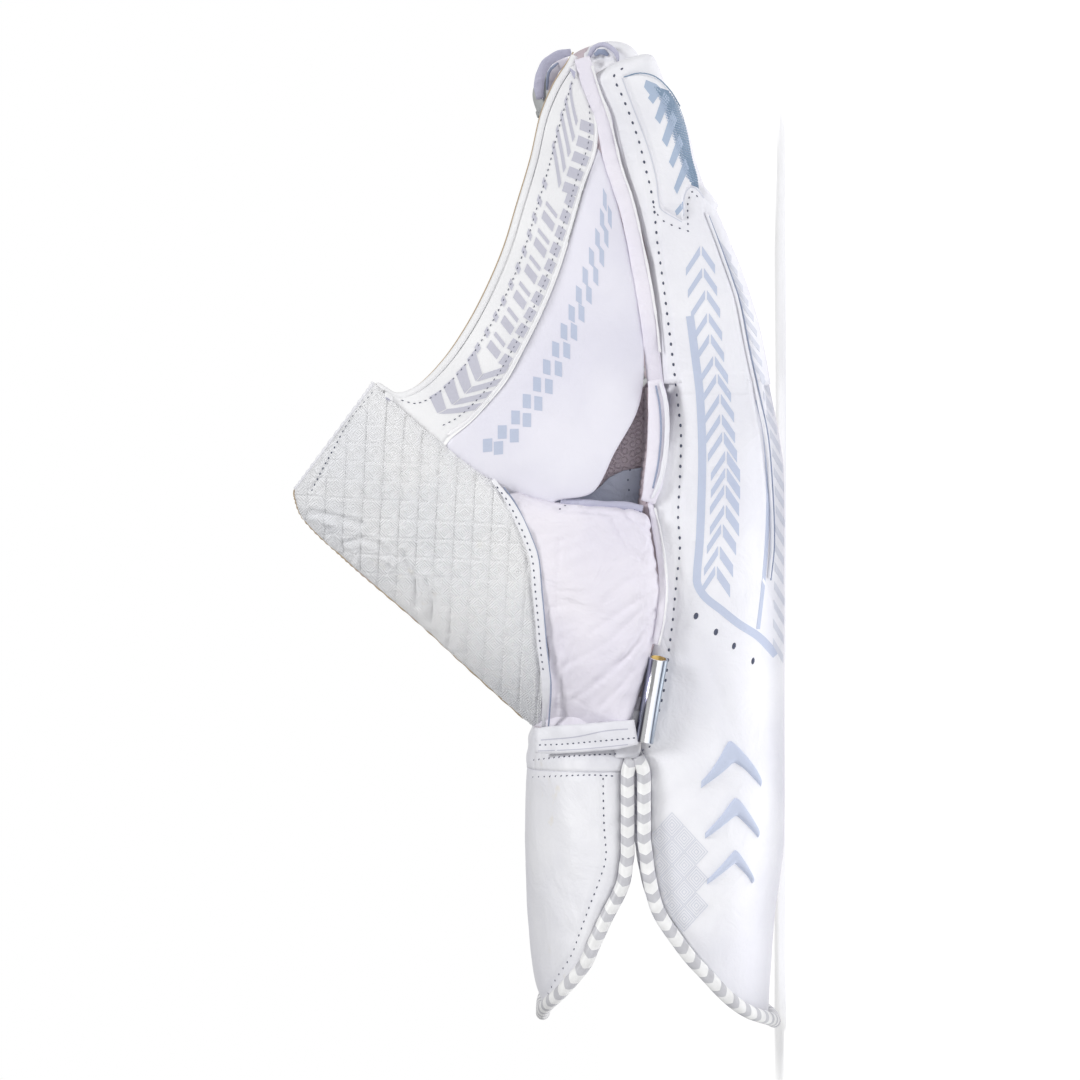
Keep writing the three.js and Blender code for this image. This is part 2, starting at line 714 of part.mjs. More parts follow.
place("back_panel", sheet(flapGrid(backFlapRows, -1, handEnd, 11, 17), backWall, -1, "body"), "leather");
place("palm_cuff", sheet(flapGrid(palmFlapRows, 1, bandAlong, 4, 16), cuffWall, 1, "body"), "leather");
const bandStep = gap / gloveLength;
const wristStart = bandAlong + bandStep;
const wristEnd = wristAlong - bandStep;
place("wrist_band", sheet(bodyGrid(wristStart, wristEnd, 2, 16, 1), cuffWall, 1, "body"), "leather");
const palmGrid = bodyGrid(wristAlong, handEnd, 10, 16, 1);
place("palm_rubber", cut(sheet(palmGrid, palmWall, 1, "body"), thumbTool, backTool), "rubber");

// Edging cords of the two cuff flaps
const slopeStep = 0.004;

function flapEdging(flapRows, side, alongEnd) {
  const outline = [];
  const lines = flapRows.map((row) => [row.along, row.trim]);
  const last = lines[lines.length - 1][0];
  for (const along of shares(5, last, alongEnd).slice(1)) lines.push([along, 0]);
  const edge = edgingDiameter / 2 + gap;
  const wall = side < 0 ? backWall : cuffWall;
  const pointAt = (along, v) => {
    const p = bodyPoint(along, v, side);
    const a = bodyPoint(along + slopeStep, v, side).sub(bodyPoint(along - slopeStep, v, side));
    const b = bodyPoint(along, Math.min(v + slopeStep, 1), side)
      .sub(bodyPoint(along, Math.max(v - slopeStep, 0), side));
    const out = a.cross(b).normalize().multiplyScalar(-side);
    return { p, out };
  };
  for (const [along, v] of lines.slice().reverse()) outline.push(pointAt(along, v));
  for (const [along, v] of lines) outline.push(pointAt(along, 1 - v));
  return outline.map(({ p, out }, i) => {
    const run = outline[Math.min(i + 1, outline.length - 1)].p.clone()
      .sub(outline[Math.max(i - 1, 0)].p).normalize();
    const away = new THREE.Vector3().crossVectors(run, out).normalize().multiplyScalar(side);
    const q = p.clone().addScaledVector(away, edge).addScaledVector(out, -wall / 2);
    q.z = Math.max(q.z, edgingDiameter / 2);
    return q;
  });
}

const backEdging = cordAlong(flapEdging(backFlapRows, -1, backEdgingAlong), edgingDiameter / 2, 6);
const palmEdging = cordAlong(flapEdging(palmFlapRows, 1, bandAlong), edgingDiameter / 2, 6);
place("back_cuff_piping", backEdging, "edging");
place("palm_cuff_piping", palmEdging, "edging");

// Thumb stall
function thumbGrid(places, fromAngle, toAngle, columnCount, side) {
  return places.map((t) => shares(columnCount, fromAngle(t), toAngle(t))
    .map((angle) => thumbPoint(t, angle, side)));
}

const seamGap = 0.02;
const faceStart = 0.1;
const gussetEnd = 0.56;
const crotchAngle = 1.05;
const whole = () => Math.PI;
const thumbPlaces = shares(16);
const backGrid = thumbGrid(thumbPlaces, (t) => thumbSeamAngle(t, gap), whole, 10, -1);
const gussetGrid = thumbGrid(shares(12, 0, gussetEnd), () => 0, (t) => thumbSeamAngle(t, -gap), 8, -1);
const faceGrid = thumbGrid(shares(14, faceStart, 1), () => crotchAngle + seamGap, whole, 8, 1);
const crotch = { from: 0.24, to: 0.95, low: 0.12, high: 0.6, turn: 0.46, turnLength: 0.14 };
const crotchFrom = (t) =>
  mix(crotch.low, crotch.high, Math.min(Math.max((crotch.turn - t) / crotch.turnLength, 0), 1));
const crotchPlaces = shares(12, crotch.from, crotch.to);
const crotchGrid = thumbGrid(crotchPlaces, crotchFrom, () => crotchAngle - seamGap, 5, 1);
place("thumb_back", cut(sheet(backGrid, thumbWall, 1, "thumbRoot"), backTool, farTool), "leather");
place("thumb_gusset", cut(sheet(gussetGrid, thumbWall, 1, "thumbRoot"), backTool, farTool), "leather");
place("thumb_face", cut(sheet(faceGrid, thumbWall, -1), handTool, nearTool), "rubber");
place("crotch_gusset", cut(sheet(crotchGrid, thumbWall, -1), handTool, nearTool), "suede");

// Fingers. wrap: how far the back leather comes up over the near side, as an angle; on the far
// side it always ends at farWrap.
const farWrap = 0.35;
const fingers = {
  index: { rows: indexRows, across: -0.373, half: 0.119, dome: 0.12, blunt: 3.2, bend: 0.2, wrap: 1.05 },
  middle: { rows: middleRows, across: -0.121, half: 0.125, dome: 0.12, blunt: 2.6, bend: 0.2, wrap: 0.35 },
  ring: { rows: ringRows, across: 0.133, half: 0.121, dome: 0.13, blunt: 2.6, bend: 0.2, wrap: 0.35 },
  little: { rows: littleRows, across: 0.371, half: 0.109, dome: 0.14, blunt: 2.5, bend: 0.2, wrap: 0.35 },
};
const splitAngle = 0.016;

for (const [name, finger] of Object.entries(fingers)) {
  const places = fingerShares(finger, 6, 4);
  const under = fingerGrid(finger, places, -Math.PI - farWrap + splitAngle, finger.wrap - splitAngle, 10);
  const over = fingerGrid(finger, places, finger.wrap + splitAngle, Math.PI - farWrap - splitAngle, 5);
  place(name + "_back", sheet(under, fingerWall, 1, "finger"), "leather");
  place(name + "_face", sheet(over, fingerWall, 1, "finger"), "rubber");
}

// Raised pad on the near side of the index fingertip
const pad = { from: 0.5, to: 0.93, low: -1.9, high: 0.5 };
const padStrip = fingerGrid(fingers.index, shares(6, pad.from, pad.to), pad.low, pad.high, 7);
const padSheet = sheet(padStrip, padWall, 1, "pad", padWall + gap);

// Catching web
function fingerBlock(finger, grow) {
  return solid(loft(fingerShares(finger, 12, 6).slice(0, -1).map((s) =>
    shares(24).slice(1).map((v) => fingerPoint(finger, s, v * 2 * Math.PI, grow)).reverse())));
}

const indexTool = fingerBlock(fingers.index, cutGap);
const middleTool = fingerBlock(fingers.middle, cutGap);
place("index_pad", cut(padSheet, indexTool), "print");

function webGrid(rows, rowCount, columnCount, from, to, outward) {
  return shares(rowCount).map((t) => shares(columnCount, from, to)
    .map((w) => webPoint(rows, t, w, outward)));
}

const webTools = [thumbTool, indexTool, middleTool, handTool];
const web = { panelSwell: 0.02, bandSwell: 0.01, bandFrom: 0.018, edgeFrom: 0.03, edgeTo: 0.96, edgeIn: 0.8 };
const panelGrid = webGrid(panelRows, 14, 6, 0, 1, web.panelSwell);
const bandGrid = webGrid(bandRows, 18, 3, web.bandFrom, 1, web.bandSwell);
place("web_panel", cut(sheet(panelGrid, webWall, 1), ...webTools), "leather");
place("web_band", cut(sheet(bandGrid, bandWall, 1), ...webTools), "leather");

// Edging cord along the web's outer edge
const webEdge = shares(24, web.edgeFrom, web.edgeTo).map((t) => {
  const edge = webPoint(bandRows, t, 1, 0);
  const run = webPoint(bandRows, Math.min(t + slopeStep, 1), 1, 0)
    .sub(webPoint(bandRows, Math.max(t - slopeStep, 0), 1, 0)).normalize();
  const out = edge.clone().sub(webPoint(bandRows, t, web.edgeIn, 0));
  out.addScaledVector(run, -out.dot(run)).normalize();
  return edge.addScaledVector(out, webEdgingDiameter / 2 + gap).add(new THREE.Vector3(0, bandWall / 2, 0));
});
const webReach = [panelGrid, bandGrid].map((grid) => solid(sheet(grid, bandWall + 2 * gap, 1, "free", gap)));
place("web_piping", cut(cordAlong(webEdge, webEdgingDiameter / 2, 5), thumbTool), "edging");

// Rolled lip where the thumb gusset ends at the crotch
const lipPlaces = { from: 0.405, to: 0.5, inward: 0.5 };
const lip = shares(12, lipPlaces.from, lipPlaces.to).map((t) => {
  const edge = thumbPoint(t, 0, -1);
  const out = edge.clone().sub(thumbPoint(t, lipPlaces.inward, -1)).setY(0).normalize();
  return edge.addScaledVector(out, lipDiameter / 2 + cutGap);
});
const gussetReach = solid(sheet(gussetGrid, thumbWall + 2 * gap, 1, "thumbRoot", gap));
const lipCord = cordAlong(lip, lipDiameter / 2, 6);
place("crotch_lip", cut(lipCord, handTool, thumbTool, gussetReach, ...webReach), "leather");

// Bright metal tube in the seam at the wrist
const tubeFrom = { along: 0.384, up: 0.262 };
const tubeTo = { along: 0.301, up: 0.292 };
const tubeStart = new THREE.Vector3((tubeFrom.along - 0.5) * gloveLength, 0, tubeFrom.up * gloveHeight);
const tubeRun = new THREE.Vector3((tubeTo.along - tubeFrom.along) * gloveLength, 0,
  (tubeTo.up - tubeFrom.up) * gloveHeight).normalize();
const tubeSide = column(bodyRows, "near", placeOf(bodyRows, "along", tubeFrom.along)) * handWidth;
tubeStart.y = tubeSide - tubeDiameter / 2 - gap;
const tubeAt = (share) => tubeStart.clone().addScaledVector(tubeRun, share * tubeLength);
const tubeShell = new THREE.LatheGeometry([
  new THREE.Vector2(tubeBore / 2, 0),
  new THREE.Vector2(tubeDiameter / 2, 0),
  new THREE.Vector2(tubeDiameter / 2, tubeLength),
  new THREE.Vector2(tubeBore / 2, tubeLength),
  new THREE.Vector2(tubeBore / 2, 0),
], 20);
tubeShell.applyQuaternion(new THREE.Quaternion().setFromUnitVectors(new THREE.Vector3(0, 1, 0), tubeRun));
tubeShell.translate(tubeStart.x, tubeStart.y, tubeStart.z);
place("side_tube", tubeShell, "metal");

// Raised tapering ribs on the near side of the back cuff
const ribs = [
  { along: 0.29, reach: 0.034, thick: 0.011, top: 0.075, bottom: 0.25 },
  { along: 0.235, reach: 0.03, thick: 0.009, top: 0.085, bottom: 0.245 },
  { along: 0.185, reach: 0.026, thick: 0.007, top: 0.095, bottom: 0.24 },
];
ribs.forEach((rib, k) => {
  const grid = shares(12).map((f) => {
    const arm = Math.abs(2 * f - 1);
    const v = mix(rib.top, rib.bottom, f);
    const middle = rib.along - rib.reach * arm;
    const half = rib.thick * (1 - 0.7 * arm);
    return shares(2, -1, 1).map((w) => bodyPoint(middle + half * w, v, -1));
  });
  place("cuff_rib_" + (k + 1), sheet(grid, ribHeight, 1, "free", ribHeight + cutGap), "print");
});

// the origin is at the middle of the ground that the glove covers
const bounds = new THREE.Box3().setFromObject(group);
group.position.set(-(bounds.min.x + bounds.max.x) / 2, -(bounds.min.y + bounds.max.y) / 2, -bounds.min.z);

export default group;
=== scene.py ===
import math
import bpy
import numpy as np
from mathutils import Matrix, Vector, noise
from mathutils.bvhtree import BVHTree


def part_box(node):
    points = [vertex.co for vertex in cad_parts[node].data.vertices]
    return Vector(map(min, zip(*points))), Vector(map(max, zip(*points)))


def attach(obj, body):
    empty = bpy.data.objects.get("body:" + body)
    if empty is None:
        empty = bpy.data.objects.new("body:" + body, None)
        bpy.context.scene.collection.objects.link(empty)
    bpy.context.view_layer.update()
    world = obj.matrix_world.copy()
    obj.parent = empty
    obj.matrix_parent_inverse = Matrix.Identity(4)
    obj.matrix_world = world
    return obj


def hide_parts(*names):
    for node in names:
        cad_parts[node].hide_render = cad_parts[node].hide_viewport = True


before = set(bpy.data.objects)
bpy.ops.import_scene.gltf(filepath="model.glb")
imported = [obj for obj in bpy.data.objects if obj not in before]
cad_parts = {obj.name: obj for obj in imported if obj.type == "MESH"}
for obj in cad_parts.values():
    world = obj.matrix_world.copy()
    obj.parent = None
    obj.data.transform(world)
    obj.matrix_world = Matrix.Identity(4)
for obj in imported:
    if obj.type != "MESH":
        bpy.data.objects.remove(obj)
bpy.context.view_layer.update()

# Everything is drawn in millimetres, x from cuff to fingertips and z up from the floor, and
# moved to the frame's own metres when a mesh is made.
glove = {
    "handEnd": 50.97,       # x where the hand ends and the fingers begin
    "wristAt": -62.5,       # x where the thumb begins
    "gap": 0.3,             # between pieces
    "edgingRoom": 0.7,      # more room that the cuff edging takes
    "palmRoundness": 2.8,
    "fingerRoundness": 2.6,
    "thumbRoundness": 2.4,
    "edging": 4.6,          # diameter of the cuff edging
    "webReach": 124,        # how long the web is, for its bulge
}
backLow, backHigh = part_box("back_panel")
shift = np.array([backHigh.x * 1000 - glove["handEnd"], (backLow.y + backHigh.y) * 500, 0.0])


def metres(points):
    return (np.asarray(points, float) + shift) / 1000


# Camera level with the glove, lying on its side so that the fingertips point up in the picture
view = {
    "width": 356.4,
    "distance": 3000.0,     # from the side of the glove that it looks at
    "nearSide": -55.0,
    "x": -0.33,
    "z": 81.5,
    "pixel": 0.33,          # millimetres to a pixel of the picture
    "zeroAcross": 787,      # the pixel where z is zero
    "zeroDown": 539,        # the pixel where x is zero
}
eye = np.array([view["x"], view["nearSide"] - view["distance"], view["z"]])


def spot(across, down):
    # a place in the picture, in its pixels, as x and z on the glove's near side
    return (view["zeroDown"] - down) * view["pixel"], (view["zeroAcross"] - across) * view["pixel"]


def pixelOf(points):
    # the way back: points as pixels across and down the picture
    return (view["zeroAcross"] - points[..., 2] / view["pixel"],
            view["zeroDown"] - points[..., 0] / view["pixel"])


cameraData = bpy.data.cameras.new("camera")
cameraData.sensor_fit = "HORIZONTAL"
cameraData.sensor_width = 36
cameraData.lens = 36 * view["distance"] / view["width"]
cameraData.clip_start = 0.05
cameraData.clip_end = 30
camera = bpy.data.objects.new("camera", cameraData)
bpy.context.scene.collection.objects.link(camera)
camera.location = Vector(metres(eye))
camera.rotation_euler = (math.radians(90), math.radians(90), 0)
bpy.context.scene.camera = camera

light = {
    "sky": 0.30,            # light from all round
    "backdrop": 1.0,        # what the camera sees behind the glove
    "floorGlow": 0.40,      # keeps the pale floor even
    "key": {"from": (0.26, -0.50, 0.80), "power": 1.72, "soft": 0.28},
    "fill": {"at": (-500, -900, 260), "size": 1.2, "power": 0.85},
    "back": {"at": (300, 700, 500), "size": 1.2, "power": 0.8},
}
world = bpy.data.worlds.new("studio")
bpy.context.scene.world = world
world.use_nodes = True
sky = world.node_tree.nodes["Background"]
sky.inputs["Color"].default_value = (1, 1, 1, 1)
seen = world.node_tree.nodes.new("ShaderNodeLightPath")
level = world.node_tree.nodes.new("ShaderNodeMapRange")
level.inputs["To Min"].default_value = light["sky"]
level.inputs["To Max"].default_value = light["backdrop"]
world.node_tree.links.new(seen.outputs["Is Camera Ray"], level.inputs["Value"])
world.node_tree.links.new(level.outputs["Result"], sky.inputs["Strength"])
keyData = bpy.data.lights.new("keyLight", "SUN")
keyData.energy = light["key"]["power"]
keyData.angle = light["key"]["soft"]
key = bpy.data.objects.new("keyLight", keyData)
bpy.context.scene.collection.objects.link(key)
key.rotation_euler = Vector(light["key"]["from"]).to_track_quat("Z", "Y").to_euler()
for lampName in ("fill", "back"):
    lamp = light[lampName]
    lampData = bpy.data.lights.new(lampName + "Light", "AREA")
    lampData.size = lamp["size"]
    lampData.energy = lamp["power"]
    lampObject = bpy.data.objects.new(lampName + "Light", lampData)
    bpy.context.scene.collection.objects.link(lampObject)
    lampObject.location = Vector(metres(lamp["at"]))
    aim = Vector(metres((0, 0, 60))) - lampObject.location
    lampObject.rotation_euler = aim.to_track_quat("-Z", "Y").to_euler()
bpy.context.scene.view_settings.view_transform = "Standard"
print("camera and light ready")


# Materials. Most have their own grain, colour drift and roughness drift, in real sizes.
def tint(red, green, blue):
    # a screen colour as the light it stands for
    return tuple(c / 12.92 if c < 0.04045 else ((c + 0.055) / 1.055) ** 2.4 for c in (red, green, blue))


def fill(node, inputs):
    # sets each input of a node, or joins it to another node's output
    for key, value in inputs.items():
        if isinstance(value, bpy.types.NodeSocket):
            node.id_data.links.new(value, node.inputs[key])
        else:
            node.inputs[key].default_value = value


def add(material, kind, inputs=None, **settings):
    node = material.node_tree.nodes.new("ShaderNode" + kind)
    for key, value in settings.items():
        setattr(node, key, value)
    fill(node, inputs or {})
    return node


def shader(name):
    # a new material, its main node and the place on the object
    material = bpy.data.materials.new(name)
    material.use_nodes = True
    place = add(material, "TexCoord").outputs["Object"]
    return material, material.node_tree.nodes["Principled BSDF"], place


def noisy(material, place, scale, detail, distortion=0.0):
    inputs = {"Vector": place, "Scale": scale, "Detail": detail, "Distortion": distortion}
    return add(material, "TexNoise", inputs).outputs["Fac"]


def sums(material, operation, *values):
    return add(material, "Math", dict(enumerate(values)), operation=operation).outputs[0]


def mixed(material, share, first, second, way="MIX"):
    inputs = {0: share, 6: first, 7: second}
    return add(material, "Mix", inputs, data_type="RGBA", blend_type=way).outputs[2]


def ramp(material, factor, low, high, first, second):
    colours = add(material, "ValToRGB", {"Fac": factor})
    for element, place, colour in zip(colours.color_ramp.elements, (low, high), (first, second)):
        element.position = place
        element.color = (*colour, 1)
    return colours.outputs["Color"]


def bumped(material, height, strength, distance, under=None):
    # a relief by light alone, on top of the one under it
    inputs = {"Height": height, "Strength": strength, "Distance": distance}
    if under is not None:
        inputs["Normal"] = under
    return add(material, "Bump", inputs).outputs["Normal"]


def drifting(material, pores, low, high):
    # a roughness that drifts with the pores
    inputs = {"Value": pores, "From Min": 0.3, "From Max": 0.7, "To Min": low, "To Max": high}
    return add(material, "MapRange", inputs).outputs["Result"]


def softMaterial(name, colour, second, roughness, grain, grainDepth, crease, creaseDepth,
                 sheen=0.0, stain=None):
    # leather, rubber or suede: a cell grain, a finer noise and wider creases, all in bump
    material, base, place = shader(name)
    shade = ramp(material, noisy(material, place, 28.0, 4.0), 0.36, 0.66, tint(*colour), tint(*second))
    if stain:
        amount = ramp(material, noisy(material, place, 95.0, 6.0), 0.66, 0.78, (0, 0, 0), (1, 1, 1))
        shade = mixed(material, amount, shade, (*tint(*stain), 1))
    cells = add(material, "TexVoronoi", {"Vector": place, "Scale": grain}, feature="DISTANCE_TO_EDGE")
    pores = noisy(material, place, grain * 2.6, 3.0)
    relief = bumped(material, noisy(material, place, crease, 5.0, 0.8), 1.0, creaseDepth)
    relief = bumped(material, cells.outputs["Distance"], 0.6, grainDepth, relief)
    relief = bumped(material, pores, 0.4, grainDepth * 0.6, relief)
    fill(base, {"Base Color": shade, "Normal": relief, "Specular IOR Level": 0.35,
                "Roughness": drifting(material, pores, roughness - 0.07, roughness + 0.07)})
    if sheen:
        fill(base, {"Sheen Weight": sheen, "Sheen Roughness": 0.5})
    return material


def plainMaterial(name, colour, roughness, metallic=0.0, grain=900.0, depth=0.00003):
    material, base, place = shader(name)
    pores = noisy(material, place, grain, 3.0)
    colour = tint(*colour)
    fill(base, {
        "Base Color": ramp(material, pores, 0.3, 0.7, tuple(c * 0.9 for c in colour), colour),
        "Normal": bumped(material, pores, 0.5, depth),
        "Roughness": drifting(material, pores, max(roughness - 0.05, 0.02), roughness + 0.05),
        "Metallic": metallic})
    return material


def stripedMaterial(name, colour, stripe, pitch, slope, share, roughness):
    # edging leather printed with slanted bars: u runs along the cord, v round it from 0 to 1
    material, base, place = shader(name)
    grid = add(material, "SeparateXYZ", {"Vector": add(material, "UVMap").outputs["UV"]}).outputs
    side = sums(material, "ABSOLUTE", sums(material, "SUBTRACT", grid["Y"], 0.5))
    along = sums(material, "ADD", grid["X"], sums(material, "MULTIPLY", side, slope))
    part = sums(material, "FRACT", sums(material, "DIVIDE", along, pitch))
    bars = ramp(material, part, share - 0.02, share + 0.02, tint(*stripe), tint(*colour))
    wear = noisy(material, place, 240.0, 5.0)
    worn = ramp(material, wear, 0.35, 0.7, (0.86, 0.86, 0.86), (1.0, 1.0, 1.0))
    fill(base, {"Base Color": mixed(material, 1.0, bars, worn, "MULTIPLY"),
                "Normal": bumped(material, wear, 0.6, 0.0002), "Roughness": roughness})
    return material


def addDiamonds(material, cell, pitch, depth):
    # nested diamonds inside each raised square of the embossed leather
    base = material.node_tree.nodes["Principled BSDF"]
    place = add(material, "SeparateXYZ", {"Vector": add(material, "TexCoord").outputs["Object"]}).outputs

    def share(main, other, lean, offset):
        run = sums(material, "ADD", place[main], sums(material, "MULTIPLY", place[other], lean))
        part = sums(material, "FRACT", sums(material, "MULTIPLY_ADD", run, 1000 / cell, offset / cell))
        return sums(material, "ABSOLUTE", sums(material, "SUBTRACT", part, 0.5))

    acrossLean, alongLean = embossing["acrossLean"], embossing["alongLean"]
    across = share("Z", "X", acrossLean, -shift[2] - acrossLean * shift[0])
    along = share("X", "Z", alongLean, -shift[0] - alongLean * shift[2])
    wave = sums(material, "PINGPONG", sums(material, "ADD", across, along), pitch)
    inputs = {"Value": wave, "From Min": pitch * 0.3, "From Max": pitch * 0.75}
    line = add(material, "MapRange", inputs, interpolation_type="SMOOTHSTEP").outputs["Result"]
    fill(base, {"Normal": bumped(material, line, 0.8, depth, base.inputs["Normal"].links[0].from_socket)})


def reflectionPaintedMetal(name, stops, roughness):
    # bright metal whose colour is painted reflection: light and dark streaks round the tube, set by which way
    # its surface faces, as a room would show in it
    material, base, place = shader(name)
    normal = add(material, "NewGeometry").outputs["Normal"]
    up = add(material, "SeparateXYZ", {"Vector": normal}).outputs["Z"]
    share = add(material, "MapRange", {"Value": up, "From Min": -1.0, "From Max": 1.0}).outputs["Result"]
    bars = add(material, "ValToRGB", {"Fac": share})
    for at, colour in stops[1:-1]:
        bars.color_ramp.elements.new(at)
    for element, (at, colour) in zip(bars.color_ramp.elements, stops):
        element.position = at
        element.color = (*tint(*colour), 1)
    fill(base, {"Base Color": bars.outputs["Color"], "Metallic": 1.0, "Roughness": roughness,
                "Normal": bumped(material, noisy(material, place, 600.0, 4.0), 0.3, 0.00002)})
    return material


embossing = {"cell": 6.1, "ridge": 0.42, "acrossLean": 0.06, "alongLean": -0.05, "squareAt": 0.37,
             "diamondAt": 0.19, "lineWidth": 0.06, "valleyWidth": 0.05,
             "finePitch": 0.085, "fineDepth": 0.0005}
# name, colour, second colour, roughness, grain and its depth, creases and their depth
softLooks = {
    "leather": ("whiteLeather", (0.94, 0.94, 0.955), (0.90, 0.90, 0.925), 0.5, 620.0, 0.00009, 70.0, 0.0012),
    "webLeather": ("smoothWebLeather", (0.925, 0.92, 0.955), (0.89, 0.885, 0.93), 0.42,
                   800.0, 0.00005, 45.0, 0.0010),
    "thumbLeather": ("embossedLeather", (0.985, 0.985, 0.99), (0.955, 0.96, 0.975), 0.45,
                     700.0, 0.00006, 90.0, 0.0010),
    "gussetLeather": ("gussetLeather", (0.935, 0.92, 0.95), (0.895, 0.88, 0.925), 0.52,
                      650.0, 0.00008, 60.0, 0.0022),
    "cuffLeather": ("cuffLeather", (0.925, 0.925, 0.94), (0.89, 0.89, 0.915), 0.5,
                    620.0, 0.00009, 50.0, 0.0014),
    "printBlue": ("printedBlue", (0.765, 0.795, 0.87), (0.735, 0.77, 0.85), 0.45,
                  620.0, 0.00006, 70.0, 0.0008),
    # grey print, also the painted shade lines on the wrist band
    "printAndShadeGrey": ("printedGreyAndShade", (0.785, 0.785, 0.83), (0.75, 0.75, 0.80), 0.45,
                  620.0, 0.00006, 70.0, 0.0008),
    # pale print, also the painted shade line along the pad's left and lower edges
    "printAndShadePale": ("printedPaleAndShade", (0.84, 0.85, 0.885), (0.82, 0.83, 0.87), 0.5, 620.0, 0.00006, 70.0, 0.0006),
    # steel-blue print, also the painted shade line along the pad's top edge
    "padPrintAndShadeBlue": ("printedSteelAndShade", (0.50, 0.585, 0.68), (0.45, 0.54, 0.64), 0.42, 620.0, 0.00006, 70.0, 0.0008),
    "padPale": ("printedPaleSteel", (0.68, 0.74, 0.825), (0.65, 0.71, 0.80), 0.45,
                620.0, 0.00006, 70.0, 0.0008),
    "rubber": ("palmRubber", (0.80, 0.75, 0.775), (0.74, 0.685, 0.715), 0.75, 1100.0, 0.00006, 200.0, 0.0005),
    "fingerRubber": ("fingerRubber", (0.80, 0.81, 0.81), (0.70, 0.71, 0.71), 0.8,
                     520.0, 0.0003, 240.0, 0.0012),
    "suede": ("suede", (0.76, 0.78, 0.84), (0.68, 0.70, 0.77), 0.95, 1500.0, 0.0001, 160.0, 0.0014),
    "lining": ("linedLeather", (0.79, 0.79, 0.86), (0.72, 0.72, 0.80), 0.8, 900.0, 0.0001, 90.0, 0.0016),
    "trim": ("whiteTrim", (0.95, 0.95, 0.955), (0.91, 0.91, 0.92), 0.4, 900.0, 0.00005, 120.0, 0.0006),
}
stains = {"thumbLeather": (0.95, 0.94, 0.92), "cuffLeather": (0.90, 0.88, 0.84),
          "fingerRubber": (0.56, 0.58, 0.58)}
sheens = {"suede": 0.35, "lining": 0.15}
# name, colour, roughness, metal, grain and its depth
plainLooks = {
    "rawEdge": ("rawEdge", (0.76, 0.68, 0.57), 0.85, 0.0, 700.0, 0.0003),
    # dark beads: painted shade inside needle holes and vents, also used for the stitch rows
    "needleHoleShade": ("needleHoleShade", (0.33, 0.35, 0.42), 0.9),
    "seamShade": ("seamShade", (0.60, 0.64, 0.74), 0.8, 0.0, 1200.0, 0.00006),
    "brass": ("brassBore", (0.80, 0.68, 0.42), 0.3, 1.0, 900.0, 0.00005),
    "floor": ("paleFloor", (0.98, 0.98, 0.98), 0.9, 0.0, 900.0, 0.00001),
}
edgingLook = {"colour": (0.97, 0.97, 0.97), "stripe": (0.80, 0.80, 0.82), "pitch": 6.5, "slope": 7.0,
              "share": 0.45, "roughness": 0.42}
# the tube's painted reflections: how far up its surface faces, from 0 to 1, and the colour there
paintedRoomReflections = [(0.0, (0.55, 0.60, 0.66)), (0.10, (0.80, 0.84, 0.88)), (0.22, (0.22, 0.25, 0.33)),
                (0.28, (0.85, 0.87, 0.90)), (0.40, (0.97, 0.97, 0.98)), (0.66, (0.97, 0.97, 0.98)),
                (0.74, (0.16, 0.12, 0.26)), (0.82, (0.72, 0.73, 0.80)), (1.0, (0.30, 0.33, 0.40))]
materials = {name: plainMaterial(*look) for name, look in plainLooks.items()}
for name, look in softLooks.items():
    materials[name] = softMaterial(*look, sheens.get(name, 0.0), stains.get(name))
materials["chrome"] = reflectionPaintedMetal("brightMetal", paintedRoomReflections, 0.16)
materials["cordEdging"] = stripedMaterial("slantedEdging", **edgingLook)
addDiamonds(materials["thumbLeather"], embossing["cell"], embossing["finePitch"], embossing["fineDepth"])
print("materials ready")

# Floor, not part of the glove
floorMesh = bpy.data.meshes.new("floor")
floorMesh.from_pydata([(-9, -9, 0), (9, -9, 0), (9, 9, 0), (-9, 9, 0)], [], [(0, 1, 2, 3)])
floor = bpy.data.objects.new("floor", floorMesh)
floorBase = materials["floor"].node_tree.nodes["Principled BSDF"]
floorBase.inputs["Emission Color"].default_value = (1, 1, 1, 1)
floorBase.inputs["Emission Strength"].default_value = light["floorGlow"]
floorMesh.materials.append(materials["floor"])
bpy.context.scene.collection.objects.link(floor)


# Tables: one row for each station, read as smooth curves
def table(names, rows):
    return dict(zip(names.split(), np.array(rows, float).T))


def column(rows, name, t):
    values = rows[name]
    count = len(values)
    place = np.clip(np.asarray(t, float), 0, 1) * (count - 1)
    i = np.minimum(place.astype(int), count - 2)
    f = place - i
    p1, p2 = values[i], values[i + 1]
    m1 = np.where(i > 0, (p2 - values[np.maximum(i - 1, 0)]) / 2, p2 - p1)
    m2 = np.where(i + 2 < count, (values[np.minimum(i + 2, count - 1)] - p1) / 2, p2 - p1)
    return (p1 * (2 * f**3 - 3 * f**2 + 1) + m1 * (f**3 - 2 * f**2 + f)
            + p2 * (3 * f**2 - 2 * f**3) + m2 * (f**3 - f**2))


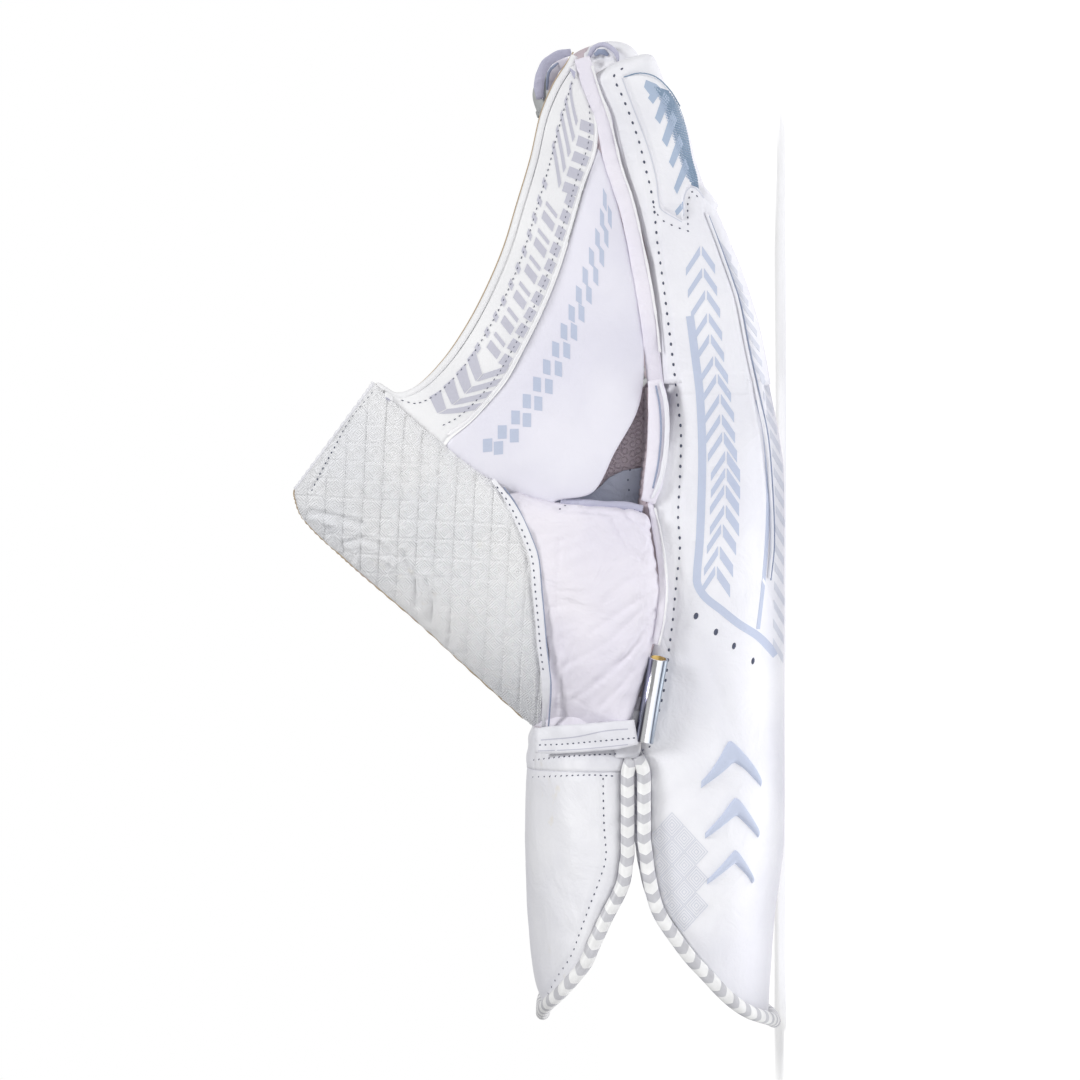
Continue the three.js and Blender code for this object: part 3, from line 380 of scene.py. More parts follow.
bodyRows = table("along near far seamNear seamFar floor rise dish edged round", [
    (-164, -60, 60, 50, 50, 4.8, 26, 0, 1, 2.8),
    (-150, -61.5, 61.5, 50, 50, 4.3, 32.5, 0, 1, 2.8),
    (-130, -63, 63, 50, 50, 3.2, 35, 0, 1, 2.8),
    (-112, -64, 64, 50, 50, 0.8, 36, 0, 1, 2.8),
    (-95, -64, 64, 50, 50, -1.2, 36.5, 0, 1, 2.8),
    (-77, -62.5, 62.5, 50, 50, -1.5, 36, 0, 1, 2.8),
    (-63, -61, 61, 50, 50, -1.6, 34, 0, 0, 2.8),
    (-45, -61.5, 60.5, 46.5, 50.5, -1.6, 29, 1, 0, 2.8),
    (-25, -62, 60, 42, 53, -1.6, 17, 3, 0, 2.8),
    (-5, -62, 60, 43, 56, -1.5, 8, 5, 0, 2.8),
    (15, -61.8, 60.5, 45, 58.5, -1.2, 4.5, 6, 0, 3.1),
    (33, -61.3, 61, 43.5, 59, 1.2, 3.5, 6, 0, 3.8),
    (51, -60.8, 61, 43.2, 57, 5, 3.5, 5, 0, 4.6),
])
backFlapRows = table("along trim", [
    (-158.5, 0.46), (-157, 0.38), (-154, 0.256), (-149, 0.175), (-141, 0.108), (-134, 0.062),
    (-123, 0.0175), (-112, 0.004), (-100, 0),
])
palmFlapRows = table("along trim", [
    (-155.5, 0.46), (-154, 0.39), (-148, 0.217), (-140, 0.115), (-133, 0.077), (-124, 0.04),
    (-114, 0.0065), (-104, 0),
])
thumbRows = table("rightAlong rightUp rightAcross leftAlong leftUp leftAcross seam near far", [
    (-62.5, 52, -61, -62.5, 84, -14, 0.875, 15, 1),
    (-42, 46.5, -62, -45, 103, -34, 0.575, 17, 8),
    (-20, 42, -62, -29, 120, -46, 0.5, 17, 14),
    (0, 45, -62.5, -16, 135, -53, 0.42, 16, 16),
    (9, 49, -63, -9, 143, -57, 0.40, 15, 16),
    (12, 77, -66, -4, 148.5, -59, 0.182, 14, 15),
    (19, 96, -70, 2, 155, -62, 0, 12.5, 14),
    (33, 115, -75, 8, 160, -66, 0, 11.5, 13),
    (44, 128, -78, 13.5, 161.9, -69, 0, 10, 12),
    (49, 133.5, -80, 15.5, 162, -71, 0, 6.5, 8),
    (51.5, 135.6, -81, 16.2, 161.7, -72, 0, 0, 0),
])
webNames = "innerAlong innerUp innerAcross outerAlong outerUp outerAcross"
panelRows = table(webNames, [
    (7.3, 79.2, -67, 27.1, 113.6, -75.5),
    (12.5, 76.2, -68, 32.3, 110.6, -77),
    (15.5, 64, -67, 38, 104, -76),
    (28.7, 56.8, -64.5, 44, 98.5, -74),
    (41, 50, -61, 52, 92, -72),
    (52, 47.6, -57.5, 62, 86.5, -70),
    (67.3, 47.6, -57, 74, 80.5, -68),
    (82, 49, -57, 87, 75.2, -66),
    (98, 53, -57, 101, 70.8, -63),
    (113, 56.6, -57, 115, 66.8, -60),
    (126, 60.4, -57, 128.5, 62.2, -58),
])
bandRows = table(webNames, [
    (28.1, 114.9, -76, 44.6, 138.1, -79.5),
    (33, 111.4, -77.3, 49.5, 134.6, -81),
    (38.3, 104.8, -76.2, 46.3, 127, -80),
    (44.5, 98.9, -74.2, 49.5, 119, -79),
    (52.5, 92.6, -72.2, 58, 110.5, -77),
    (62.5, 87, -70.2, 69, 103, -74),
    (74.5, 81, -68.2, 81, 96.7, -71),
    (87.5, 75.8, -66.2, 94.5, 91, -68),
    (101.5, 71.4, -63.2, 109, 86.6, -65),
    (115.5, 67.4, -60.2, 124, 82.2, -62.5),
    (128.5, 62.9, -58.2, 138, 79, -60.5),
    (141, 63.2, -57.5, 148, 75, -59),
    (150, 66.8, -57, 155, 70.8, -58),
    (154.2, 69, -57, 158.5, 69.6, -57.5),
])
fingerNames = "along up depth"
fingers = {
    "index": {"across": -46.25, "half": 14.76, "dome": 0.12, "blunt": 3.2, "wrap": 1.05, "rows": table(
        fingerNames, [(51.3, 24.2, 19), (72, 27.5, 17.6), (95, 33, 14.8), (115, 40.2, 12.4),
                      (135, 46.8, 12), (150, 52.5, 12), (157.5, 55.8, 12)])},
    "middle": {"across": -15.0, "half": 15.5, "dome": 0.12, "blunt": 2.6, "wrap": 0.35, "rows": table(
        fingerNames, [(51.3, 25.5, 20), (75, 31, 18), (100, 38, 15.5), (120, 45.5, 13.8),
                      (138, 53, 13.2), (152, 59, 13), (165.3, 62.8, 13)])},
    "ring": {"across": 16.5, "half": 15.0, "dome": 0.13, "blunt": 2.6, "wrap": 0.35, "rows": table(
        fingerNames, [(51.3, 29, 20), (75, 36.5, 18), (100, 46.5, 16), (120, 57, 14.6),
                      (135, 64, 14.2), (148, 69.5, 13.6), (160, 74, 13)])},
    "little": {"across": 46.0, "half": 13.5, "dome": 0.14, "blunt": 2.5, "wrap": 0.35, "rows": table(
        fingerNames, [(51.3, 35.5, 19), (70, 42.5, 17), (90, 51.5, 14.6), (108, 60.5, 12.8),
                      (122, 67, 12.2), (134, 72.5, 12)])},
}


# The glove's surfaces, in millimetres
def bulge(angle, roundness):
    return np.power(np.maximum(np.sin(angle), 0), 2 / roundness)


def spread(angle, roundness):
    c = np.cos(angle)
    return np.sign(c) * np.power(np.abs(c), 2 / roundness)


def stack(x, y, z):
    return np.stack(np.broadcast_arrays(x, y, z), -1)


bodyPlaces = np.linspace(0, 1, 2401)
bodyAlongs = column(bodyRows, "along", bodyPlaces)


def bodyPoint(x, v, side):
    t = np.interp(x, bodyAlongs, bodyPlaces)
    edged = np.clip(column(bodyRows, "edged", t), 0, 1)
    clear = glove["gap"] / 2
    offset = side * (clear + (glove["edging"] + glove["edgingRoom"] - clear) * edged)
    near, far = column(bodyRows, "near", t), column(bodyRows, "far", t)
    seam = column(bodyRows, "seamNear", t) * (1 - v) + column(bodyRows, "seamFar", t) * v + offset
    angle = math.pi * v
    roundness = column(bodyRows, "round", t) if side < 0 else glove["palmRoundness"]
    y = (near + far) / 2 - (far - near) / 2 * spread(angle, roundness)
    arch = bulge(angle, roundness)
    if side < 0:
        z = np.maximum(seam + (column(bodyRows, "floor", t) - seam) * arch, 0)
    else:
        dish = column(bodyRows, "dish", t) * np.sin(angle) ** 2
        z = seam + (column(bodyRows, "rise", t) - offset) * arch - dish
    return stack(x, y, z)


def thumbPoint(t, angle, side):
    w = 0.5 - 0.5 * np.cos(angle)
    place = [column(thumbRows, "right" + k, t) * (1 - w) + column(thumbRows, "left" + k, t) * w
             for k in ("Along", "Across", "Up")]
    swell = np.maximum(column(thumbRows, "near" if side < 0 else "far", t), 0)
    y = place[1] + side * (swell * bulge(angle, glove["thumbRoundness"]) + glove["gap"] / 2)
    return stack(place[0], y, place[2])


def thumbSeamAngle(t, offset):
    rx = column(thumbRows, "rightAlong", t) - column(thumbRows, "leftAlong", t)
    rz = column(thumbRows, "rightUp", t) - column(thumbRows, "leftUp", t)
    w = column(thumbRows, "seam", t) + offset / np.hypot(rx, rz)
    return np.arccos(1 - 2 * np.clip(w, 0, 1))


def webPoint(rows, t, w, outward):
    place = [column(rows, "inner" + k, t) * (1 - w) + column(rows, "outer" + k, t) * w
             for k in ("Along", "Across", "Up")]
    y = place[1] - outward * glove["webReach"] * np.sin(math.pi * w) * np.sin(math.pi * t)
    return stack(place[0], y, place[2])


def fingerPoint(finger, s, angle):
    rows, dome, blunt = finger["rows"], finger["dome"], finger["blunt"]
    ahead, behind = np.minimum(s + 0.01, 1), np.maximum(s - 0.01, 0)
    rx = column(rows, "along", ahead) - column(rows, "along", behind)
    rz = column(rows, "up", ahead) - column(rows, "up", behind)
    length = np.hypot(rx, rz)
    square = np.maximum(1 - s / 0.2, 0)
    rx, rz = rx / length * (1 - square) + square, rz / length * (1 - square)
    length = np.hypot(rx, rz)
    rx, rz = rx / length, rz / length
    inTip = np.maximum((s - (1 - dome)) / dome, 0)
    scale = np.power(np.maximum(1 - inTip**blunt, 0), 1 / blunt)
    sine = np.sin(angle)
    rise = np.sign(sine) * np.power(np.abs(sine), 2 / glove["fingerRoundness"])
    depth = column(rows, "depth", s) * scale * rise
    y = finger["across"] - finger["half"] * scale * spread(angle, glove["fingerRoundness"])
    return stack(column(rows, "along", s) - rz * depth, y, column(rows, "up", s) + rx * depth)


# Mesh helpers
skins = {}      # the outer skin of each piece, for laying prints and stitches on it


def unit(vectors):
    return vectors / np.maximum(np.linalg.norm(vectors, axis=-1, keepdims=True), 1e-9)


def lengthsOf(line):
    # the length along a line up to each of its points
    return np.concatenate([[0], np.cumsum(np.linalg.norm(np.diff(line, axis=0), axis=1))])


def crossed(rows, columns):
    # every pairing of the two, as two grids
    return np.meshgrid(rows, columns, indexing="ij")


def bend(points, size, seed):
    # smooth noise from -1 to 1 at each point, features about size millimetres wide
    flat = points.reshape(-1, 3) / size + seed * 7.3
    return np.array([noise.noise(Vector(p)) for p in flat]).reshape(points.shape[:-1])


def ease(x, low, high):
    f = np.clip((x - low) / (high - low), 0, 1)
    return f * f * (3 - 2 * f)


def distanceTo(points, line):
    # distance in the picture plane from points to a line of picture pixels
    x, z = points[..., 0], points[..., 2]
    best = np.full(x.shape, 1e9)
    corners = [spot(*p) for p in line]
    for (ax, az), (bx, bz) in zip(corners[:-1], corners[1:]):
        dx, dz = bx - ax, bz - az
        f = np.clip(((x - ax) * dx + (z - az) * dz) / (dx * dx + dz * dz + 1e-9), 0, 1)
        best = np.minimum(best, np.hypot(x - ax - f * dx, z - az - f * dz))
    return best


def folded(points, lines):
    # depth of folds traced in the picture: each is (depth, width, line), a groove with swollen sides
    total = np.zeros(points.shape[:-1])
    for depth, width, line in lines:
        d = distanceTo(points, line)
        total -= depth * np.exp(-(d / width) ** 2)
        total += 0.45 * depth * np.exp(-((d - 1.9 * width) / width) ** 2)
    return total


def normalsOf(grid, flip, tip=None):
    a = np.gradient(grid, axis=0)
    b = np.gradient(grid, axis=1)
    n = unit(np.cross(a, b) * flip)
    if tip is not None:
        n[-1] = tip
    return n


def facing(grid):
    # the flip that turns a grid's outer side to the camera
    return 1 if normalsOf(grid, 1)[..., 1].mean() < 0 else -1


def outwards(normals):
    # normals turned towards the camera's side of the glove
    return np.where(normals[..., 1:2] > 0, -normals, normals)


def addMesh(name, points, faces, material, nodes=(), smooth=True, uv=None, extra=()):
    mesh = bpy.data.meshes.new(name)
    mesh.from_pydata(metres(points).tolist(), [], faces)
    if smooth:
        mesh.polygons.foreach_set("use_smooth", [True] * len(mesh.polygons))
    mesh.materials.append(materials[material])
    for other in extra:
        mesh.materials.append(materials[other])
    if uv is not None:
        layer = mesh.uv_layers.new(name="UVMap")
        layer.data.foreach_set("uv", np.asarray(uv, float).ravel())
    piece = bpy.data.objects.new(name, mesh)
    bpy.context.scene.collection.objects.link(piece)
    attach(piece, "root")
    if nodes:
        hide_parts(*nodes)
    return piece


def shell(name, grid, wall, flip, material, nodes=(), relief=None, tip=None, rim=0.3, inside=None,
          flat=False):
    # a closed leather: the outer grid, the same grid moved in by the wall, and a rounded rim
    normals = normalsOf(grid, flip, tip)
    outer = grid if relief is None else grid + normals * relief[..., None]
    if flat:
        outer[..., 2] = np.maximum(outer[..., 2], 0.02)
    inner = grid - normals * wall
    if relief is not None:
        inner = inner + normals * np.clip(relief, -wall * 0.7, wall)[..., None]
    if flat:
        inner[..., 2] = np.maximum(inner[..., 2], 0.4)
    rows, columns = grid.shape[:2]
    loop = ([(0, j) for j in range(columns)] + [(i, columns - 1) for i in range(1, rows)]
            + [(rows - 1, j) for j in range(columns - 2, -1, -1)] + [(i, 0) for i in range(rows - 2, 0, -1)])
    middle = []
    for i, j in loop:
        away = unit(outer[i, j] - outer[min(max(i, 1), rows - 2), min(max(j, 1), columns - 2)])
        middle.append((outer[i, j] + inner[i, j]) / 2 + away * rim)
    points = np.concatenate([outer.reshape(-1, 3), inner.reshape(-1, 3), np.array(middle)])
    count = rows * columns
    index = np.arange(count).reshape(rows, columns)
    quads = np.stack([index[:-1, :-1], index[1:, :-1], index[1:, 1:], index[:-1, 1:]], -1).reshape(-1, 4)
    if flip < 0:
        quads = quads[:, ::-1]
    faces = quads.tolist() + (quads[:, ::-1] + count).tolist()
    skins[name] = BVHTree.FromPolygons([Vector(p) for p in outer.reshape(-1, 3)], quads.tolist())
    turns = len(loop)
    rimStart = len(faces)
    for k, (i, j) in enumerate(loop):
        m = (k + 1) % turns
        a, b = index[i, j], index[loop[m]]
        c, d = 2 * count + k, 2 * count + m
        for face in ((a, b, d, c), (c, d, b + count, a + count)):
            faces.append(tuple(int(q) for q in (face if flip > 0 else face[::-1])))
    piece = addMesh(name, points, faces, material, nodes, extra=(inside,) if inside else ())
    if inside:
        slotsOf = np.zeros(len(faces), int)
        slotsOf[len(quads):rimStart] = 1
        piece.data.polygons.foreach_set("material_index", slotsOf.tolist())
    return piece


def cordMesh(name, line, radius, material, nodes=(), sides=14, knots=None):
    # a round cord along a smooth line; u is the length along it and v the share round it
    line = np.asarray(line, float)
    run = unit(np.gradient(line, axis=0))
    up = np.array([0.0, 1.0, 0.0])
    rings, lengths = [], lengthsOf(line)
    angles = np.linspace(0, 2 * math.pi, sides, endpoint=False)
    for i, p in enumerate(line):
        up = up - run[i] * np.dot(up, run[i])
        up /= np.linalg.norm(up)
        across = np.cross(run[i], up)
        r = radius * (1 if knots is None else knots[i])
        rings.append(p + r * (np.cos(angles)[:, None] * up + np.sin(angles)[:, None] * across))
    count = len(rings)
    points = np.concatenate(rings + [line[:1], line[-1:]])
    faces, uv = [], []
    for i in range(count - 1):
        for k in range(sides):
            m = (k + 1) % sides
            faces.append((i * sides + k, i * sides + m, (i + 1) * sides + m, (i + 1) * sides + k))
            a, b = lengths[i], lengths[i + 1]
            uv += [(a, k / sides), (a, (k + 1) / sides), (b, (k + 1) / sides), (b, k / sides)]
    for ring, hub, turned in ((0, count * sides, True), (count - 1, count * sides + 1, False)):
        for k in range(sides):
            a, b = ring * sides + k, ring * sides + (k + 1) % sides
            faces.append((hub, b, a) if turned else (hub, a, b))
            uv += [(lengths[ring], 0.5)] * 3
    return addMesh(name, points, faces, material, nodes, uv=uv)


def smoothLine(points, step):
    # an even, smooth line through a few points
    points = np.asarray(points, float)
    rows = {str(k): points[:, k] for k in range(points.shape[1])}
    t = np.linspace(0, 1, 60 * len(points))
    dense = np.stack([column(rows, str(k), t) for k in range(points.shape[1])], -1)
    lengths = lengthsOf(dense)
    even = np.linspace(0, lengths[-1], max(int(lengths[-1] / step), 1) + 1)
    return np.stack([np.interp(even, lengths, dense[:, k]) for k in range(points.shape[1])], -1)


def pin(across, down, carriers):
    # the nearest skin seen at a place in the picture, and its outward direction
    x, z = spot(across, down)
    way = np.array([x, view["nearSide"], z]) - eye
    way /= np.linalg.norm(way)
    best = None
    for name in carriers:
        hit, normal, _, far = skins[name].ray_cast(Vector(eye), Vector(way))
        if hit is not None and (best is None or far < best[2]):
            n = np.array(normal)
            best = (np.array(hit), n if np.dot(n, way) < 0 else -n, far)
    return best


def atDepth(across, down, y):
    # a place in the picture carried along the camera's ray to the depth y
    x, z = spot(across, down)
    near = np.array([x, view["nearSide"], z])
    return eye + (near - eye) * ((y - eye[1]) / (near[1] - eye[1]))


def sidewise(line):
    # the way to the left of a line of picture pixels, at each of its points
    run = np.gradient(line, axis=0)
    return unit(np.stack([-run[:, 1], run[:, 0]], -1))


def strap(name, line, width, thick, carriers, material, rise=0.3, wall=1.4, wave=0.0, taper=0.0):
    # a narrow strip laid along a line of picture pixels, over whatever lies under it: leather, or a thin dark
    # strip of painted shade
    even = smoothLine(line, 4)
    side = sidewise(even)
    depth = []
    for p, way in zip(even, side):
        hits = [pin(*(p + way * width * k), carriers) for k in (-0.45, -0.2, 0.0, 0.2, 0.45)]
        hits = [h[0][1] for h in hits if h]
        depth.append(min(hits) if hits else np.nan)
    depth = np.array(depth)
    good = np.flatnonzero(~np.isnan(depth))
    depth = np.interp(np.arange(len(depth)), good, depth[good])
    depth = np.array([depth[max(i - 4, 0):i + 5].min() for i in range(len(depth))])
    depth = np.convolve(np.pad(depth, 4, "edge"), np.ones(9) / 9, "valid")
    f = np.linspace(0, 1, len(even))
    narrow = 1 - taper * (1 - ease(np.minimum(f, 1 - f), 0, 0.2))
    grid = []
    for p, way, d, n in zip(even, side, depth, narrow):
        row = []
        for k in np.linspace(-1, 1, 13):
            swollen = thick * n * math.sqrt(1 - 0.9 * k * k)
            row.append(atDepth(*(p + way * width / 2 * k * n), d - rise - swollen))
        grid.append(row)
    grid = np.array(grid)
    relief = wave * bend(grid, 4, 31) if wave else None
    return shell(name, grid, wall, facing(grid), material, relief=relief, rim=0.15)


def tiles(held, m, n):
    # faces of a flat print, above, below and at its sides, wherever a tile's four corners are held
    def solid(i, j):
        return all(q in held for q in ((i, j), (i + 1, j), (i + 1, j + 1), (i, j + 1)))

    faces = []
    for i in range(m):
        for j in range(n):
            if not solid(i, j):
                continue
            ring = [held[i, j], held[i + 1, j], held[i + 1, j + 1], held[i, j + 1]]
            faces += [tuple(ring), tuple(q + 1 for q in reversed(ring))]
            for k, (ni, nj) in enumerate(((i, j - 1), (i + 1, j), (i, j + 1), (i - 1, j))):
                if not (0 <= ni < m and 0 <= nj < n and solid(ni, nj)):
                    p, q = ring[k], ring[(k + 1) % 4]
                    faces.append((q, p, p + 1, q + 1))
    return faces


def printsAndShadeLines(name, shapes, carriers, material, lift=0.1, sink=0.25, step=1.1):
    # flat shapes laid on the leather, prints and thin lines of painted shade: each is four corners in picture
    # pixels
    points, faces = [], []
    for shape in shapes:
        a, b, c, d = [np.array(p, float) for p in shape]
        wide = max(np.linalg.norm(b - a), np.linalg.norm(c - d)) * view["pixel"]
        tall = max(np.linalg.norm(d - a), np.linalg.norm(c - b)) * view["pixel"]
        m, n = max(int(wide / step), 1), max(int(tall / step), 1)
        held = {}
        for i in range(m + 1):
            for j in range(n + 1):
                u, v = i / m, j / n
                p = (a * (1 - u) + b * u) * (1 - v) + (d * (1 - u) + c * u) * v
                found = pin(p[0], p[1], carriers)
                if found:
                    held[i, j] = len(points)
                    points.append(found[0] + found[1] * lift)
                    points.append(found[0] - found[1] * sink)
        faces += tiles(held, m, n)
    if not faces:
        print("nothing of", name, "lies on", carriers)
        return None
    points = np.array(points)
    first = np.array([points[q] for q in faces[0][:3]])
    if np.cross(first[1] - first[0], first[2] - first[0])[1] > 0:
        faces = [f[::-1] for f in faces]
    return addMesh(name, points, faces, material, smooth=False)


def printedOn(name, surface, shapes, material, lift=0.12, sink=0.3, step=1.0):
    # flat printed shapes given by four corners in a surface's own two shares
    points, faces = [], []
    for shape in shapes:
        a, b, c, d = [np.array(q, float) for q in shape]
        ends = surface(np.array([a[0], b[0], c[0], d[0]]), np.array([a[1], b[1], c[1], d[1]]))
        m = max(int(max(np.linalg.norm(ends[1] - ends[0]), np.linalg.norm(ends[2] - ends[3])) / step), 1)
        n = max(int(max(np.linalg.norm(ends[3] - ends[0]), np.linalg.norm(ends[2] - ends[1])) / step), 1)
        u = np.linspace(0, 1, m + 1)[:, None, None]
        v = np.linspace(0, 1, n + 1)[None, :, None]
        at = (a * (1 - u) + b * u) * (1 - v) + (d * (1 - u) + c * u) * v
        here = surface(at[..., 0], at[..., 1])
        du = surface(at[..., 0] + 0.002, at[..., 1]) - here
        dv = surface(at[..., 0], at[..., 1] + 0.004) - here
        normal = outwards(unit(np.cross(du, dv)))
        held = {}
        for i in range(m + 1):
            for j in range(n + 1):
                held[i, j] = len(points)
                points.append(here[i, j] + normal[i, j] * lift)
                points.append(here[i, j] - normal[i, j] * sink)
        turned = np.dot(np.cross(here[-1, 0] - here[0, 0], here[0, -1] - here[0, 0]), normal[0, 0]) < 0
        faces += [f[::-1] for f in tiles(held, m, n)] if turned else tiles(held, m, n)
    return addMesh(name, np.array(points), faces, material, smooth=False)


def rowOn(name, surface, places, material, lift=0.0, **sizes):
    # stitches at pairs of a surface's own two shares
    t, w = np.array(places, float).T
    here = surface(t, w)
    ahead = surface(t + 0.002, w) - here
    outward = outwards(unit(np.cross(ahead, surface(t, w + 0.01) - here)))
    return dots(name, [(p + n * lift, n, a) for p, n, a in zip(here, outward, ahead)], material, **sizes)


def dots(name, places, material, long=0.55, wide=0.42, deep=0.28):
    # stitches, needle holes and studs: a small rounded bead at each (point, outward, along)
    rings, sides = 4, 8
    base = [(0, 0, 1)]
    for r in range(1, rings):
        for k in range(sides):
            a, b = math.pi * r / rings, 2 * math.pi * k / sides
            base.append((math.sin(a) * math.cos(b), math.sin(a) * math.sin(b), math.cos(a)))
    base.append((0, 0, -1))
    base = np.array(base)
    cap = len(base) - 1
    shape = [(0, 1 + k, 1 + (k + 1) % sides) for k in range(sides)]
    for r in range(rings - 2):
        for k in range(sides):
            a, b = 1 + r * sides + k, 1 + r * sides + (k + 1) % sides
            shape.append((a, a + sides, b + sides, b))
    low = 1 + (rings - 2) * sides
    shape += [(low + k, cap, low + (k + 1) % sides) for k in range(sides)]
    points, faces = [], []
    for point, outward, along in places:
        along = along - outward * np.dot(along, outward)
        along = along / max(np.linalg.norm(along), 1e-6)
        across = np.cross(outward, along)
        start = len(points)
        for p in base:
            points.append(point + along * p[0] * long + across * p[1] * wide + outward * p[2] * deep)
        faces += [tuple(start + q for q in f) for f in shape]
    return addMesh(name, np.array(points), faces, material) if points else None


def stitched(name, line, pitch, carriers, material, **sizes):
    # a row of stitches along a line of picture pixels
    even = smoothLine(line, pitch)
    places = []
    for i, p in enumerate(even):
        found = pin(p[0], p[1], carriers)
        ahead = even[min(i + 1, len(even) - 1)] - even[max(i - 1, 0)]
        if found:
            places.append((*found[:2], np.array([-ahead[1], 0.0, -ahead[0]])))
    return dots(name, places, material, **sizes)


# Back of the hand and the back cuff flap, one leather
backPanel = {"wall": 3.6, "step": 1.5, "grooveDepth": 0.55, "puff": 0.5, "underFingers": 1.4}


def flapGrid(flapRows, side, end, count, columns):
    t = np.linspace(0, 1, count)
    x, trim = column(flapRows, "along", t), np.maximum(column(flapRows, "trim", t), 0)
    more = np.arange(x[-1], end, backPanel["step"])[1:]
    x = np.concatenate([x, more, [end]])
    trim = np.concatenate([trim, np.zeros(len(more) + 1)])
    v = trim[:, None] + (1 - 2 * trim[:, None]) * np.linspace(0, 1, columns)[None, :]
    return bodyPoint(x[:, None] + 0 * v, v, side)


nearStitchLine = [(622, 69), (614, 76), (616, 83), (623, 98), (632, 121), (640, 145), (646, 170), (650, 186),
                  (654, 207), (656, 228), (658, 247), (663, 280), (668, 321), (673, 361), (678, 404),
                  (681, 434), (680, 476), (678, 516), (680, 546), (676, 586), (673, 619), (669, 650),
                  (664, 690), (651, 740)]
backSlit = [(706, 213), (720, 250), (736, 295), (748, 360), (765, 435), (770, 500), (768, 575), (781, 610)]
backFolds = [
    (backPanel["grooveDepth"], 1.0, nearStitchLine),
    (0.8, 1.1, backSlit),
    (0.4, 2.5, [(700, 640), (720, 690), (735, 760)]),
    (0.35, 3.0, [(655, 800), (690, 790), (730, 800)]),
    (0.3, 2.0, [(690, 930), (720, 900), (760, 880)]),
]


def nearSide(grid):
    # 1 on the side that faces the camera and 0 on the rest
    return ease(-grid[..., 1], 20, 45)


def meetFinger(grid, finger, side, start, end):
    # the hand's side turns into the outer finger's own section towards its root
    rows = finger["rows"]
    x, y, z = grid[..., 0], grid[..., 1], grid[..., 2]
    centre, depth = rows["up"][0], rows["depth"][0]
    sine = np.power(np.clip((centre - z) / depth, -1, 1) ** 2, glove["fingerRoundness"] / 4)
    if side > 0:
        sine = np.where(z > centre, 0, sine)
    reach = finger["half"] * np.power(np.clip(1 - sine**2, 0, 1), 1 / glove["fingerRoundness"])
    wanted = finger["across"] + side * reach
    outside = side * y > side * finger["across"]
    grid[..., 1] = np.where(outside, y + (wanted - y) * ease(x, start, end), y)


backGrid = flapGrid(backFlapRows, -1, glove["handEnd"] + backPanel["underFingers"], 44, 150)
meetFinger(backGrid, fingers["index"], -1, 25, 49)
meetFinger(backGrid, fingers["little"], 1, 25, 49)
lifted = ease(backGrid[..., 2], 0.5, 6)
relief = folded(backGrid, backFolds) * nearSide(backGrid)
ending = 1 - ease(backGrid[..., 0], 30, 50)
relief += (backPanel["puff"] * bend(backGrid, 24, 1) + 0.12 * bend(backGrid, 7, 2)) * lifted * ending
relief += 0.15 * (1 - ending)
shell("backPanel", backGrid, backPanel["wall"], -1, "leather", ["back_panel"], relief, inside="lining",
      flat=True)
print("back of the hand ready")

# Palm side of the cuff, the gathered wrist band and the rubber palm
palmCuff = {"wall": 3.0, "bandStart": -76.8, "bandEnd": -62.6, "gather": 0.5, "gatherPitch": 4.2,
            "puckers": 2}
cuffCurve = [(603, 770), (604, 825), (606, 855), (601, 876), (590, 905), (579, 935), (571, 956), (556, 979),
             (545, 1000)]
cuffGrid = flapGrid(palmFlapRows, 1, palmCuff["bandStart"], 40, 140)
relief = folded(cuffGrid, [
    (0.35, 1.0, cuffCurve),
    (0.5, 1.2, [(533, 771), (560, 772), (615, 768)]),
    (0.35, 3.5, [(540, 800), (560, 850), (565, 900)]),
    (0.3, 3.0, [(580, 800), (585, 860), (570, 930)]),
]) * nearSide(cuffGrid)
relief += 0.5 * bend(cuffGrid, 26, 3) + 0.12 * bend(cuffGrid, 8, 4)
shell("palmCuff", cuffGrid, palmCuff["wall"], 1, "cuffLeather", ["palm_cuff"], relief, inside="lining")

x = np.linspace(palmCuff["bandStart"] + glove["gap"], palmCuff["bandEnd"] - 0.1, 14)
bandGrid = bodyPoint(*crossed(x, np.linspace(0, 1, 220)), 1)
wave = bend(bandGrid * np.array([0.25, 1, 1]), palmCuff["gatherPitch"], 5)
across = (x[:, None] - palmCuff["bandStart"]) / (palmCuff["bandEnd"] - palmCuff["bandStart"])
pucker = 0.5 + 0.5 * np.cos(2 * math.pi * palmCuff["puckers"] * across)
relief = palmCuff["gather"] * wave * (1 - 0.55 * pucker) - 0.35 * pucker + 0.3
shell("wristBand", bandGrid, palmCuff["wall"], 1, "cuffLeather", ["wrist_band"], relief, inside="lining")

palm = {"wall": 3.0, "step": 1.5, "heelTo": -52.0, "creaseAt": -5, "creaseDepth": 0.9,
        "ringPitch": 3.3, "ringRadius": 1.0, "ringThick": 0.32}
v = np.linspace(0, 1, 120)
palmGrid = bodyPoint(*crossed(np.arange(glove["wristAt"], glove["handEnd"] + 0.1, palm["step"]), v), 1)
crease = np.exp(-((palmGrid[..., 0] - palm["creaseAt"]) / 5) ** 2) * np.sin(math.pi * v) ** 2
relief = 0.5 * bend(palmGrid, 18, 6) - palm["creaseDepth"] * crease
palmPiece = shell("palmRubber", palmGrid, palm["wall"], 1, "rubber", ["palm_rubber"], relief, inside="lining")
heelRows = int((palm["heelTo"] - glove["wristAt"]) / palm["step"])
palmPiece.data.materials.append(materials["gussetLeather"])
finish = np.zeros(len(palmPiece.data.polygons), int)
palmPiece.data.polygons.foreach_get("material_index", finish)
finish[:heelRows * (len(v) - 1)] = 2
palmPiece.data.polygons.foreach_set("material_index", finish.tolist())
print("palm ready")


